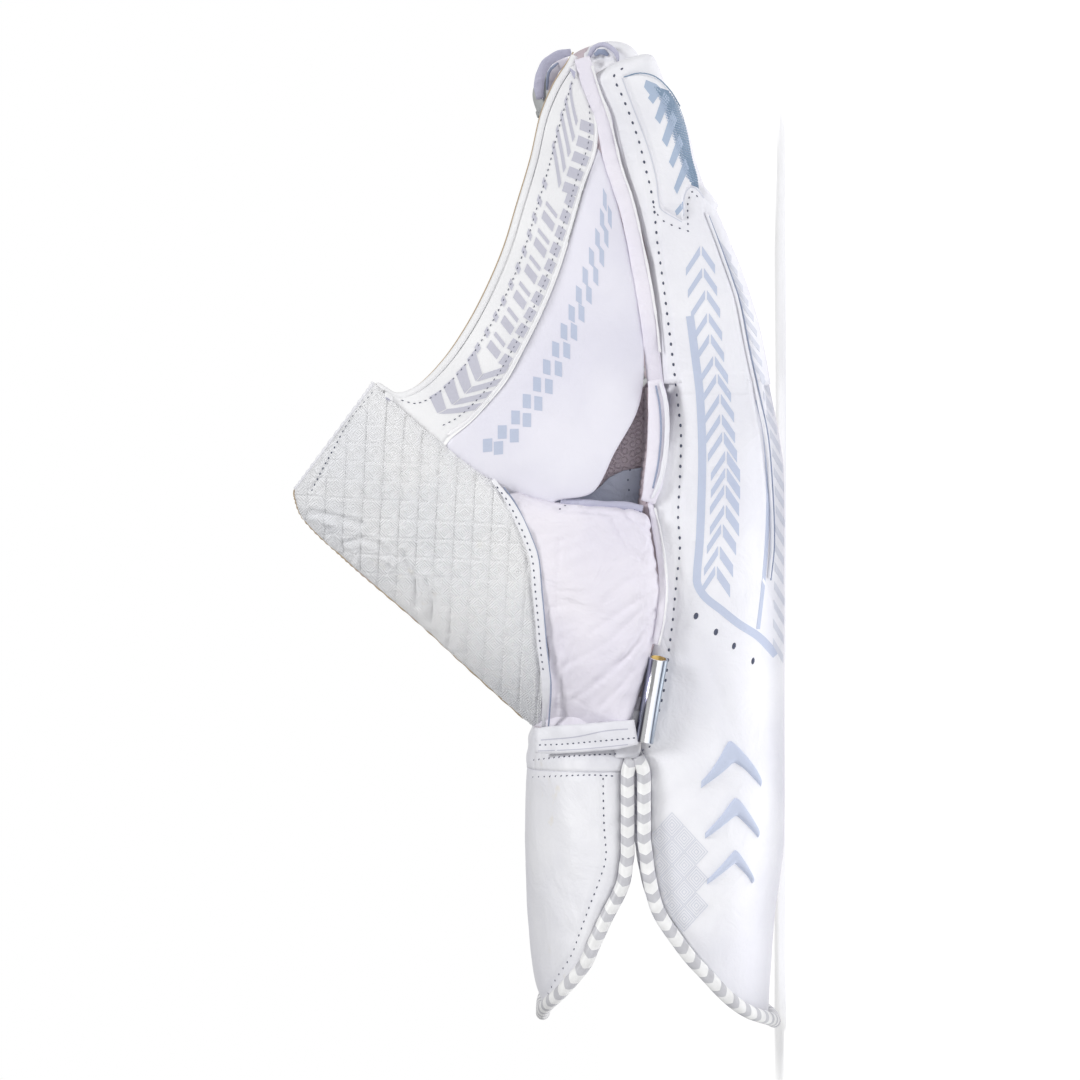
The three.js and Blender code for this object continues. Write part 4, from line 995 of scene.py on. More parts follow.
def ringed(name, places, material, radius, thick):
    # the rubber's small raised rings: (point, outward) for each
    around, section = 8, 3
    points, faces = [], []
    for point, outward in places:
        side = np.cross(outward, (0.0, 0.3, 1.0) if abs(outward[2]) < 0.9 else (1.0, 0.0, 0.0))
        side /= np.linalg.norm(side)
        other = np.cross(outward, side)
        start = len(points)
        for k in range(around):
            a = 2 * math.pi * k / around
            way = side * math.cos(a) + other * math.sin(a)
            for m in range(section):
                b = 2 * math.pi * (m + 0.75) / section
                points.append(point + way * (radius + thick * math.cos(b)) + outward * (thick * math.sin(b)))
        for k in range(around):
            for m in range(section):
                here, ahead = start + k * section, start + (k + 1) % around * section
                above = (m + 1) % section
                faces.append((here + m, ahead + m, ahead + above, here + above))
    return addMesh(name, np.array(points), faces, material) if points else None


def onGrid(grid, flip, pitch, skip):
    # places an even pitch apart on a grid, in staggered rows
    normals = normalsOf(grid, flip)
    rowLength = lengthsOf(grid[:, grid.shape[1] // 2])
    places = []
    for n, at in enumerate(np.arange(pitch, rowLength[-1] - pitch * 0.6, pitch * 0.87)):
        i = int(np.searchsorted(rowLength, at))
        line = grid[min(i, len(grid) - 1)]
        run = lengthsOf(line)
        for m in np.arange(pitch * (0.7 + 0.5 * (n % 2)), run[-1] - pitch * 0.6, pitch):
            j = min(int(np.searchsorted(run, m)), len(line) - 1)
            f = (m - run[j - 1]) / max(run[j] - run[j - 1], 1e-6)
            point = line[j - 1] * (1 - f) + line[j] * f
            if not skip(point):
                places.append((point, normals[min(i, len(grid) - 1), j]))
    return places


palmOuter = palmGrid + normalsOf(palmGrid, 1) * relief[..., None]
ringed("palmRings", onGrid(palmOuter, 1, palm["ringPitch"], lambda p: p[0] < palm["heelTo"] + 2), "rubber",
       palm["ringRadius"], palm["ringThick"])


# Striped edging round the two cuff flaps
def flapEdging(flapRows, side, end, wall):
    t = np.linspace(0, 1, 90)
    x, trim = column(flapRows, "along", t), np.maximum(column(flapRows, "trim", t), 0)
    more = np.arange(x[-1], end, 1.0)[1:]
    x, trim = np.concatenate([x, more]), np.concatenate([trim, 0 * more])
    x = np.concatenate([x[::-1], x])
    v = np.concatenate([trim[::-1], 1 - trim])
    step, along = 0.004, 1.324      # small steps round the hand and along it, to find which way is out
    p = bodyPoint(x, v, side)
    a = bodyPoint(x + along, v, side) - bodyPoint(x - along, v, side)
    b = bodyPoint(x, np.minimum(v + step, 1), side) - bodyPoint(x, np.maximum(v - step, 0), side)
    out = unit(np.cross(a, b) * -side)
    run = unit(np.gradient(p, axis=0))
    away = unit(np.cross(run, out) * side)
    line = p + away * (glove["edging"] / 2 + glove["gap"]) - out * wall / 2
    line[:, 2] = np.maximum(line[:, 2], glove["edging"] / 2)
    keep = np.concatenate([[True], np.linalg.norm(np.diff(line, axis=0), axis=1) > 0.3])
    return smoothLine(line[keep][::4], 0.9)


cuffEdging = {"backTo": -70, "palmTo": -71, "sides": 20}
cordMesh("backCuffEdging", flapEdging(backFlapRows, -1, cuffEdging["backTo"], backPanel["wall"]),
         glove["edging"] / 2, "cordEdging", ["back_cuff_piping"], cuffEdging["sides"])
cordMesh("palmCuffEdging", flapEdging(palmFlapRows, 1, cuffEdging["palmTo"], palmCuff["wall"]),
         glove["edging"] / 2, "cordEdging", ["palm_cuff_piping"], cuffEdging["sides"])
print("cuff edging ready")

# Thumb: embossed leather, smooth gusset, rubber face, suede crotch and rolled lip
# ends and places along the thumb are shares of its length, angles run round it from the palm's side
thumb = {
    "wall": 2.6,
    "embossedEnd": 0.985,
    "gussetEnd": 0.56,
    "seamGap": 0.3,         # half the gap between the embossed leather and the gusset
    "crotchAngle": 1.05,    # where the suede ends and the rubber begins
    "crotchGap": 0.02,
    "faceStart": 0.1,
    "suede": (0.24, 0.95),
    "lip": (0.405, 0.5),
    "lipRadius": 1.6,
}


def patch(t, low, high, columns, side):
    # part of the thumb's surface between two angles, which may change along it
    f = np.linspace(0, 1, columns)[None, :]
    angle = (low + 0 * t)[:, None] * (1 - f) + (high + 0 * t)[:, None] * f
    return thumbPoint(t[:, None] + 0 * f, angle, side)


def lattice(grid, cell):
    # rounded squares with a small diamond inside, in rows and columns, as a height about zero
    a = (grid[..., 2] + embossing["acrossLean"] * grid[..., 0]) / cell
    b = (grid[..., 0] + embossing["alongLean"] * grid[..., 2]) / cell
    fa, fb = a - np.floor(a) - 0.5, b - np.floor(b) - 0.5
    square = np.power(np.abs(fa) ** 4 + np.abs(fb) ** 4, 0.25)
    line, gap = embossing["lineWidth"], embossing["valleyWidth"]
    outline = np.exp(-((square - embossing["squareAt"]) / line) ** 2)
    diamond = np.exp(-((np.abs(fa) + np.abs(fb) - embossing["diamondAt"]) / line) ** 2)
    valley = np.exp(-((np.abs(fa) - 0.5) / gap) ** 2) + 0.5 * np.exp(-((np.abs(fb) - 0.5) / gap) ** 2)
    return 0.6 * outline + 0.6 * diamond - 1.3 * valley


thumbFolds = [
    (0.9, 1.1, [(312, 512), (335, 517), (362, 524)]),
    (0.7, 1.0, [(347, 542), (362, 539), (379, 544), (394, 559)]),
    (0.7, 1.0, [(389, 566), (397, 584)]),
    (0.8, 1.1, [(404, 554), (415, 581), (417, 606)]),
    (0.7, 1.2, [(427, 581), (432, 601), (430, 621)]),
    (0.8, 1.2, [(330, 529), (342, 549), (352, 560)]),
    (0.5, 1.4, [(440, 580), (450, 610), (452, 640)]),
    (0.5, 0.7, [(372, 393), (367, 399), (352, 417), (342, 437), (330, 460), (322, 479), (312, 490)]),
    (0.4, 0.6, [(496, 481), (507, 505), (520, 533), (528, 563), (534, 614), (539, 671), (541, 727)]),
]
t = np.linspace(0, thumb["embossedEnd"], 250)
embossedGrid = patch(t, thumbSeamAngle(t, thumb["seamGap"]), math.pi, 170, -1)
margin = np.minimum(np.linspace(0, 1, 170)[None, :], 1 - np.linspace(0, 1, 170)[None, :])
fade = ease(margin, 0.01, 0.06) * (1 - ease(t[:, None], 0.9, 0.94))
relief = embossing["ridge"] * lattice(embossedGrid, embossing["cell"]) * fade
relief *= 0.75 + 0.25 * bend(embossedGrid, 30, 8)
calm = ease(margin, 0.0, 0.03) * (1 - ease(t[:, None], 0.95, thumb["embossedEnd"]))
relief += (folded(embossedGrid, thumbFolds) + 0.5 * bend(embossedGrid, 22, 7)) * calm
shell("embossedThumb", embossedGrid, thumb["wall"], 1, "thumbLeather", ["thumb_back"], relief, rim=0.1,
      inside="lining")

farEdge = embossedGrid[:, -1]
away = unit(farEdge - embossedGrid[:, -5])
cordMesh("thumbRawEdge", farEdge[4:] + away[4:] * 0.9 + np.array([0, 0.9, 0]), 0.45, "rawEdge", sides=8,
         knots=1 + 0.25 * np.sin(np.arange(len(farEdge) - 4) * 0.9))
tipEdge = embossedGrid[-1]
away = unit(tipEdge - embossedGrid[-5])
cordMesh("thumbTipEdge", tipEdge[3:-2] + away[3:-2] * 0.5 + np.array([0, 0.6, 0]), 0.8, "leather", sides=10,
         knots=1 + 0.18 * np.sin(np.arange(len(tipEdge) - 5) * 0.7))

gussetFolds = [
    (0.3, 2.2, [(590, 512), (593, 545), (586, 590), (574, 620)]),
    (0.5, 1.0, [(646, 626), (625, 655), (596, 680)]),
    (0.45, 0.9, [(640, 640), (612, 672), (575, 698)]),
    (0.4, 0.9, [(650, 600), (610, 640), (560, 668)]),
    (0.5, 1.0, [(652, 590), (620, 612), (590, 632)]),
    (0.4, 0.9, [(645, 655), (622, 684), (600, 706)]),
    (0.45, 1.1, [(655, 570), (625, 582), (604, 600)]),
    (0.4, 0.8, [(612, 520), (625, 545), (645, 560)]),
    (0.5, 0.8, [(620, 505), (632, 520), (648, 530)]),
    (0.35, 0.9, [(560, 540), (556, 600), (560, 650)]),
    (0.4, 0.9, [(560, 510), (600, 512), (640, 518)]),
    (0.3, 0.8, [(575, 640), (560, 680), (556, 715)]),
    (0.4, 0.7, [(648, 545), (640, 560)]),
    (0.5, 0.7, [(655, 610), (640, 622)]),
]
t = np.linspace(0, thumb["gussetEnd"], 110)
gussetGrid = patch(t, 0, thumbSeamAngle(t, -thumb["seamGap"]), 90, -1)
relief = folded(gussetGrid, gussetFolds) + 0.5 * bend(gussetGrid, 20, 9)
slant = gussetGrid @ np.array([[0.5, 0.0, 0.9], [0.0, 1.0, 0.0], [-0.25, 0.0, 0.4]])
relief += 0.3 * bend(slant, 3.0, 10) + 0.12 * bend(slant, 1.5, 19)
shell("thumbGusset", gussetGrid, thumb["wall"], 1, "gussetLeather", ["thumb_gusset"], relief, inside="lining")

t = np.linspace(thumb["faceStart"], 1, 100)
faceGrid = patch(t, thumb["crotchAngle"] + thumb["crotchGap"], math.pi, 60, 1)
shell("thumbFace", faceGrid, thumb["wall"], -1, "rubber", ["thumb_face"], 0.4 * bend(faceGrid, 16, 11),
      inside="lining")
ringed("thumbRings", onGrid(faceGrid + normalsOf(faceGrid, -1) * 0.1, -1, palm["ringPitch"],
                            lambda p: p[0] < -25), "rubber", palm["ringRadius"], palm["ringThick"])
t = np.linspace(*thumb["suede"], 80)
low = 0.12 + 0.48 * np.clip((0.46 - t) / 0.14, 0, 1)
crotchGrid = patch(t, low, thumb["crotchAngle"] - thumb["crotchGap"], 30, 1)
shell("crotchSuede", crotchGrid, thumb["wall"], -1, "suede", ["crotch_gusset"], 0.4 * bend(crotchGrid, 9, 12),
      inside="lining")

t = np.linspace(*thumb["lip"], 50)
lipEdge, lipIn = thumbPoint(t, 0 * t, -1), thumbPoint(t, 0 * t + 0.5, -1)
away = unit((lipEdge - lipIn) * np.array([1, 0, 1]))
cordMesh("rolledLip", lipEdge + away * (thumb["lipRadius"] + 0.5), thumb["lipRadius"], "lining",
         ["crotch_lip"], sides=16,
         knots=1 + 0.12 * np.sin(t * 150))
print("thumb ready")

# Fingers
fingerLook = {"wall": 2.4, "puff": 0.35, "farWrap": 0.35, "seam": 0.016}


def fingerGrid(finger, low, high, rows, tipRows, columns):
    dome = finger["dome"]
    s = np.concatenate([np.linspace(0, 1 - dome, rows, endpoint=False),
                        1 - dome + dome * np.sin(np.linspace(0, math.pi / 2, tipRows))])
    angle = np.linspace(low, high, columns)
    return fingerPoint(finger, *crossed(s, angle))


def tipOf(finger):
    rows = finger["rows"]
    way = np.array([rows["along"][-1] - rows["along"][-2], 0, rows["up"][-1] - rows["up"][-2]])
    return way / np.linalg.norm(way)


tipFolds = [
    (1.6, 1.3, [(592, 54), (599, 49), (607, 55), (602, 60)]),
    (0.9, 1.0, [(584, 47), (598, 41), (614, 45), (628, 58)]),
    (0.8, 1.0, [(612, 52), (624, 60), (634, 68)]),
    (0.7, 0.9, [(600, 62), (612, 64), (622, 71)]),
    (1.4, 1.3, [(548, 70), (543, 84), (548, 98)]),
    (0.8, 0.9, [(554, 62), (561, 74), (562, 90)]),
]
rubberOf = {"index": "rubber", "middle": "rubber", "ring": "fingerRubber", "little": "fingerRubber"}
for fingerName, finger in fingers.items():
    farWrap, seam = fingerLook["farWrap"], fingerLook["seam"]
    underGrid = fingerGrid(finger, -math.pi - farWrap + seam, finger["wrap"] - seam, 62, 20, 66)
    relief = fingerLook["puff"] * bend(underGrid, 15, 13)
    relief += folded(underGrid, backFolds[:2]) * nearSide(underGrid)
    if fingerName != "index":
        relief += folded(underGrid, tipFolds) * (underGrid[..., 1] < finger["across"])
    relief[-4:] *= 0.2
    shell(fingerName + "Back", underGrid, fingerLook["wall"], 1, "leather", [fingerName + "_back"], relief,
          tip=tipOf(finger), inside="lining")
    overGrid = fingerGrid(finger, finger["wrap"] + seam, math.pi - farWrap - seam, 56, 16, 36)
    relief = 0.3 * bend(overGrid, 12, 14)
    relief[-4:] *= 0.2
    shell(fingerName + "Face", overGrid, fingerLook["wall"], 1, rubberOf[fingerName], [fingerName + "_face"],
          relief, tip=tipOf(finger), inside="lining")
    flatPart = overGrid[:58]
    ringed(fingerName + "Rings", onGrid(flatPart + normalsOf(flatPart, 1) * 0.1, 1, palm["ringPitch"],
                                        lambda p: False),
           rubberOf[fingerName], palm["ringRadius"], palm["ringThick"])
print("fingers ready")

# Raised pad on the side of the index fingertip. Its outline is traced in the picture; outside it
# the pad's skin goes under the finger's leather.
pad = {"wall": 1.3, "lift": 1.5, "swell": 0.9, "sink": 2.6, "edge": 1.5, "low": -1.75, "high": 0.9,
       "from": 0.38, "to": 0.97, "nearReach": 9, "barPitch": 2.6, "finePitch": 3.1}
padOutline = [(622, 77), (628, 74), (640, 73), (656, 77), (670, 90), (681, 107), (689, 131), (694, 157),
              (699, 172), (704, 186), (720, 205), (716, 214), (702, 198), (697, 189), (692, 187), (687, 190),
              (684.5, 198), (685, 212), (684, 224), (662, 211), (659, 203), (656, 178), (650, 154),
              (641, 128), (631, 102)]


def insideOf(points, outline):
    # distance inside a closed line of picture pixels, below zero outside it
    x, y = pixelOf(points)
    held = np.zeros(x.shape, bool)
    for (ax, ay), (bx, by) in zip(outline, outline[1:] + outline[:1]):
        if ay != by:
            held ^= ((ay > y) != (by > y)) & (x < (bx - ax) * (y - ay) / (by - ay) + ax)
    far = distanceTo(points, outline + outline[:1])
    return np.where(held, far, -far)


s = np.linspace(pad["from"], pad["to"], 150)
padGrid = fingerPoint(fingers["index"], *crossed(s, np.linspace(pad["low"], pad["high"], 100)))
padDepth = insideOf(padGrid, padOutline)
nearest = fingerPoint(fingers["index"], s, -1.3 + 0 * s)[:, None, 1]
farSide = padGrid[..., 1] > nearest + pad["nearReach"]
padDepth = np.where(farSide, -3.0, padDepth)
padGrid = padGrid + normalsOf(padGrid, 1) * pad["lift"]
rise = ease(padDepth, -0.2, pad["edge"]) * (pad["sink"] + 0.1) - pad["sink"]
rise += pad["swell"] * ease(padDepth, 0.8, 6)
padPiece = shell("indexPad", padGrid, pad["wall"], 1, "leather", ["index_pad"], rise, inside="lining")
padBars = [
    [(656, 84), (662, 90), (653, 104), (648, 98)], [(664, 92), (670, 99), (660, 124), (655, 118)],
    [(672, 110), (677, 120), (667, 147), (662, 140)], [(679, 134), (683, 144), (673, 168), (669, 162)],
    [(685, 158), (689, 168), (677, 194), (674, 188)], [(646, 80), (656, 84), (650, 95), (644, 87)],
    [(684, 200), (684, 207), (677, 216), (675, 211)],
]
padPrint = []
right = smoothLine([(657, 80), (670, 92), (680, 108), (687, 131), (692, 157), (697, 175), (699, 190)], 1)
left = smoothLine([(652, 82), (661, 98), (668, 117), (675, 137), (681, 157), (688, 176), (695, 190)], 1)
for y in np.arange(86, 188, pad["barPitch"]):
    a, b = np.interp(y, left[:, 1], left[:, 0]), np.interp(y + 5, right[:, 1], right[:, 0])
    padPrint.append([(a, y), (b, y + 5), (b, y + 7.1), (a, y + 2.0)])
fine = []
for y in np.arange(92, 176, pad["finePitch"]):
    a = np.interp(y, left[:, 1], left[:, 0])
    fine.append([(a - 2, y), (a + 5, y + 6.2), (a + 5, y + 7.1), (a - 2, y + 0.9)])
printsAndShadeLines("padBars", padBars, ["indexPad"], "padPale", step=0.8)
printsAndShadeLines("padPrint", padPrint, ["indexPad"], "padPrintAndShadeBlue", step=0.8)
printsAndShadeLines("padFineLines", fine, ["indexPad"], "padPale", lift=0.16, sink=0.1, step=0.8)
print("index pad ready")

# Web between the thumb and the index finger: a smooth panel and a printed band over its edge
web = {"panelWall": 2.2, "bandWall": 2.6, "edging": 1.2, "panelBulge": 0.02, "bandBulge": 0.01,
       "edgingFrom": 377}     # the edging begins at this pixel across
panelGrid = webPoint(panelRows, *crossed(np.linspace(0, 1, 120), np.linspace(0, 1, 50)), web["panelBulge"])
relief = 0.45 * bend(panelGrid, 26, 15) + 0.08 * bend(panelGrid, 6, 16)
shell("webPanel", panelGrid, web["panelWall"], 1, "webLeather", ["web_panel"], relief, inside="lining")
places = crossed(np.linspace(0, 1, 160), np.linspace(0.018, 1, 26))
webBandGrid = webPoint(bandRows, *places, web["bandBulge"])
relief = 0.05 * bend(webBandGrid, 9, 17)
shell("webBand", webBandGrid, web["bandWall"], 1, "trim", ["web_band"], relief, inside="lining")
t = np.linspace(0.012, 0.985, 200)
edge = webPoint(bandRows, t, 0 * t + 1, 0)
away = unit(edge - webPoint(bandRows, t, 0 * t + 0.8, 0))
webEdge = edge + away * (web["edging"] + glove["gap"]) + np.array([0, web["bandWall"] / 2, 0])
clear = pixelOf(webEdge)[0] > web["edgingFrom"]
webEdge, away = webEdge[clear], away[clear]
cordMesh("webEdging", webEdge, web["edging"], "trim", ["web_piping"], sides=14)
cordMesh("webRawEdge", webEdge + away * (web["edging"] + 0.15) + np.array([0, 0.6, 0]), 0.28, "rawEdge",
         sides=6)

# Print, edge cord and stitches of the web band, placed by millimetres from the thumb end
bandPrint = {"topFrom": 42, "stitch": 1.9, "stitchRows": {"bandStitchesIn": 0.175, "bandStitchesOut": 0.765}}
t = np.linspace(0, 1, 400)
bandLengths = lengthsOf(webPoint(bandRows, t, 0 * t + 0.45, web["bandBulge"]))
bandLong = bandLengths[-1]


def onBand(run, w):
    return webPoint(bandRows, np.interp(run, bandLengths, t), w, web["bandBulge"])


topStart = bandLong - bandPrint["topFrom"]
# where each group of marks begins, and its shapes: millimetres along and share across
markGroups = [
    (12.5 + 5.6 * np.arange(4), [[(0, 0.42), (3.3, 0.42), (10.3, 0.78), (6.4, 0.80)],
                                 [(0, 0.40), (3.3, 0.40), (9.3, 0.08), (6.0, 0.08)]]),
    (topStart + 5.4 * np.arange(5), [[(0, 0.46), (1.9, 0.44), (13.2, 0.80), (11.3, 0.81)],
                                     [(-0.4, 0.38), (3.0, 0.38), (3.8, 0.09), (0.4, 0.09)]]),
    (np.arange(38.0, topStart - 3, 5.9), [[(0, 0.28), (3.9, 0.26), (3.3, 0.09), (-0.6, 0.10)],
                                          [(0.6, 0.70), (2.6, 0.70), (4.2, 0.81), (2.2, 0.81)]]),
    (np.arange(39.0, topStart - 8, 9.4), [[(0, 0.34), (2.8, 0.34), (5.4, 0.62), (2.6, 0.62)],
                                          [(4.7, 0.34), (6.0, 0.34), (8.6, 0.62), (7.3, 0.62)]]),
]
marks = []
for begins, shapes in markGroups:
    marks += [[(a + along, across) for along, across in shape] for a in begins for shape in shapes]
printedOn("bandPrint", onBand, marks, "printAndShadeGrey", lift=0.16, step=0.9)
runs = np.arange(9, bandLong - 8, bandPrint["stitch"])
for rowName, across in bandPrint["stitchRows"].items():
    rowOn(rowName, onBand, [(r, across) for r in runs], "needleHoleShade", 0.1, long=0.45, wide=0.17, deep=0.22)
run = np.linspace(7, bandLong - 3, 220)
cordMesh("bandInnerEdge", onBand(run, 0 * run + 0.03) + np.array([0, -0.1, 0]), 0.6, "trim", sides=12,
         knots=1 + 0.05 * np.sin(run * 1.7))
print("web ready")

# Bright tube, cut at a slant, with a brass bore
tube = {"from": (-38.4, 42.4), "to": (-65.9, 47.3), "radius": 3.25, "bore": 2.55, "length": 29.0,
        "slant": 1.6, "sides": 40}
start = np.array([tube["from"][0], 0.0, tube["from"][1]])
run = unit(np.array([tube["to"][0] - tube["from"][0], 0.0, tube["to"][1] - tube["from"][1]]))
handSide = float(column(bodyRows, "near", np.interp(start[0], bodyAlongs, bodyPlaces)))
start[1] = handSide - tube["radius"] - glove["gap"]
acrossTube = np.cross(run, (0.0, 1.0, 0.0))
sides = tube["sides"]


def tubeRing(radius, share, slantShare):
    ring = []
    for k in range(sides):
        a = 2 * math.pi * k / sides
        way = acrossTube * math.cos(a) + np.array([0.0, 1.0, 0.0]) * math.sin(a)
        lean = slantShare * tube["slant"] * (1 - math.sin(a)) / 2
        ring.append(start + way * radius + run * (share * tube["length"] + lean))
    return ring


profile = [(tube["bore"], 0.0, 1), (tube["bore"] + 0.15, -0.004, 1), (tube["radius"] - 0.15, -0.004, 1),
           (tube["radius"], 0.004, 1), (tube["radius"], 0.5, 0), (tube["radius"], 0.994, 0),
           (tube["radius"] - 0.15, 1.0, 0), (tube["bore"] + 0.1, 1.0, 0), (tube["bore"], 0.99, 0),
           (tube["bore"], 0.5, 0)]
points = np.concatenate([tubeRing(*p) for p in profile])
faces = []
for i in range(len(profile)):
    for k in range(sides):
        m, n = (k + 1) % sides, (i + 1) % len(profile)
        faces.append((i * sides + k, n * sides + k, n * sides + m, i * sides + m))
tubePiece = addMesh("sideTube", points, faces, "chrome", ["side_tube"], extra=("brass",))
inBore = [1 if f // sides in (8, 9) else 0 for f in range(len(faces))]
tubePiece.data.polygons.foreach_set("material_index", inBore)
print("tube ready")

# Raised ribs on the near side of the back cuff
ribs = [
    {"along": -69.5, "reach": 11.25, "thick": 3.64, "top": 0.075, "bottom": 0.25},
    {"along": -87.7, "reach": 9.93, "thick": 2.98, "top": 0.085, "bottom": 0.245},
    {"along": -104.3, "reach": 8.6, "thick": 2.32, "top": 0.095, "bottom": 0.24},
]
for number, rib in enumerate(ribs):
    f, w = crossed(np.linspace(0, 1, 70), np.linspace(-1, 1, 16))
    arm = np.sqrt((2 * f - 1) ** 2 + 0.004)
    half = rib["thick"] * (1 - 0.7 * arm)
    around = rib["top"] + (rib["bottom"] - rib["top"]) * f
    grid = bodyPoint(rib["along"] - rib["reach"] * arm + half * w, around, -1)
    rounded = np.sqrt(np.clip(1 - w**2, 0, 1)) * np.sqrt(np.clip(1 - (2 * f - 1) ** 8, 0, 1))
    grid = grid + normalsOf(grid, 1) * 0.5
    shell(f"cuffRib{number + 1}", grid, 1.0, 1, "printBlue", [f"cuff_rib_{number + 1}"], 1.3 * rounded - 0.2)
print("ribs ready")

# A thin skin over the joint between the index finger and the back of the hand
joint = {"from": 669, "to": 758, "top": 366, "bottom": 400, "above": 368, "below": 398, "slopeOver": 8,
         "cover": 0.16, "sink": 0.4}
jointRows = []
for across in np.arange(joint["from"], joint["to"], 2.5):
    measured = (joint["above"] - joint["slopeOver"], joint["above"], joint["below"],
                joint["below"] + joint["slopeOver"])
    held = [pin(across, down, ["backPanel", "indexBack"]) for down in measured]
    if all(held):
        a, b, c, d = [h[0][1] for h in held]
        tall = joint["below"] - joint["above"]
        leaving, arriving = (b - a) / joint["slopeOver"] * tall, (d - c) / joint["slopeOver"] * tall
        row = []
        for f in np.linspace(0, 1, 22):
            down = joint["top"] + (joint["bottom"] - joint["top"]) * f
            g = (down - joint["above"]) / tall
            depth = ((2 * g**3 - 3 * g**2 + 1) * b + (g**3 - 2 * g**2 + g) * leaving
                     + (3 * g**2 - 2 * g**3) * c + (g**3 - g**2) * arriving)
            edge = min(f, 1 - f) * 4
            aside = min(across - joint["from"], joint["to"] - across) / 12
            over = float(ease(np.array(min(edge, aside)), 0, 1))
            row.append(atDepth(across, down, depth + joint["sink"] - (joint["sink"] + joint["cover"]) * over))
        jointRows.append(row)
jointGrid = np.array(jointRows)
shell("jointSkin", jointGrid, 0.8, facing(jointGrid), "leather", rim=0.05)

# Prints on the side of the hand
nearLeather = ["backPanel", "indexBack", "jointSkin"]
apexes = [(701, 246), (703, 268), (706, 290), (708, 313), (710, 334), (714, 356), (717, 374), (720, 394),
          (721, 414), (723, 432), (726, 451), (726, 468), (725, 485), (725, 505), (722, 524), (719, 546),
          (716, 566)]
sidePrint = {"leftArm": (-15, 22), "rightArm": (14, 19), "thin": 8, "boldAt": (240, 400, 450),
             "bold": (9.0, 9.5, 12.5)}
arms = []
for ax, ay in apexes:
    lx, ly = sidePrint["leftArm"]
    rx, ry = sidePrint["rightArm"]
    thin, bold = sidePrint["thin"], float(np.interp(ay, sidePrint["boldAt"], sidePrint["bold"]))
    arms.append([(ax - 1, ay), (ax + lx, ay + ly), (ax + lx, ay + ly + thin), (ax - 1, ay + thin + 1)])
    arms.append([(ax + 1, ay), (ax + rx, ay + ry), (ax + rx, ay + ry + bold), (ax + 1, ay + bold)])
printsAndShadeLines("handChevrons", arms, nearLeather, "printBlue")


def band(line, step, width):
    # a smooth line through picture pixels as short shapes, each width wide
    line = smoothLine(line, step)
    half = sidewise(line) * width / 2
    left, right = line + half, line - half
    return [[left[i], left[i + 1], right[i + 1], right[i]] for i in range(len(line) - 1)]


leftLine = [(690, 316), (696, 362), (700, 396), (702, 440), (702, 478), (700, 536), (697, 574),
            (698, 586), (706, 598), (720, 609), (739, 624), (759, 637), (776, 655)]
rightLine = [(757, 400), (764, 430), (768, 486), (767, 536), (763, 586), (758, 629)]
printsAndShadeLines("handLines", band(leftLine, 5, 8) + band(rightLine, 6, 3.5), nearLeather, "printBlue")
print("hand print ready")

# Checker dashes on the web panel: two columns of leaning bars, wider towards the thumb
dashLines = [
    [(603, 188), (598, 218), (586, 256), (573, 293), (556, 333), (537, 370), (511, 411), (482, 440),
     (466, 450)],
    [(608, 205), (601, 240), (589, 277), (573, 317), (557, 356), (535, 395), (507, 432), (476, 452)],
]
dash = {"pitch": 19.5, "wide": (3.6, 10.0), "high": (17, 12.5), "drop": (7, -2)}   # at the top and the thumb
dashes = []
for dashLine in dashLines:
    even = smoothLine(dashLine, dash["pitch"])
    for i, (x, y) in enumerate(even[:-1]):
        f = i / len(even)
        wide, high, drop = [dash[k][0] + (dash[k][1] - dash[k][0]) * f for k in ("wide", "high", "drop")]
        dashes.append([(x, y), (x + wide, y + drop), (x + wide, y + drop + high), (x, y + high)])
printsAndShadeLines("webDashes", dashes, ["webPanel"], "printBlue", step=0.9)

# Leather strips and patches on the near side: the welt beside the web, the fold below it, the corner of the
# wrist band, the seam at the back of the fingers. Some strips are thin and dark, painted shade in the
# fingertip hollows, in the fold, beside the thumb's seam, beside the back seam and round the pad's edge
strap("indexWelt", [(582, 58), (589, 82), (597, 102), (604, 120), (611, 158), (628, 211), (639, 264),
                    (648, 316), (653, 360), (656, 386)],
      16, 0.9, ["indexBack", "webPanel", "webBand"], "gussetLeather", rise=0.5, wall=1.4, wave=0.25)
strap("ringTipRim", [(571, 52), (556, 56), (545, 66), (539, 82), (540, 99)],
      10, 1.0, ["ringFace", "ringBack"], "lining", rise=0.5, wall=1.2, wave=0.5, taper=0.3)
strap("ringTipFold", [(566, 60), (556, 68), (551, 82), (553, 97)],
      9, 0.7, ["ringFace", "ringBack", "middleFace"], "gussetLeather", rise=0.3, wall=1.0, wave=0.4,
      taper=0.4)
strap("ringTipShade", [(558, 63), (549, 72), (547, 90)], 3, 0.3, ["ringTipRim", "ringTipFold", "ringFace"],
      "seamShade", rise=0.2, wall=0.4, taper=0.5)
strap("middleTipRim", [(589, 57), (595, 47), (606, 45), (616, 53), (618, 61)],
      5, 0.8, ["middleBack"], "lining", rise=0.2, wall=1.0, wave=0.4, taper=0.4)
strap("middleTipShade", [(595, 55), (601, 51), (608, 55)],
      6, 0.4, ["middleBack"], "seamShade", rise=0.2, wall=0.5, wave=0.3, taper=0.4)
strap("weltRawEdge", [(592, 66), (600, 92), (607, 110), (613, 131), (621, 165), (634, 205), (647, 264),
                      (656, 316), (660, 352)],
      2.6, 0.3, ["indexWelt", "indexBack"], "trim", rise=0.15, wall=0.5, wave=0.3)
strap("sideFold", [(655, 380), (658, 400), (658, 432), (656, 463), (652, 488), (648, 502)], 20, 1.3,
      ["backPanel", "palmRubber"], "gussetLeather", rise=0.9, wall=1.5, wave=0.3, taper=0.25)
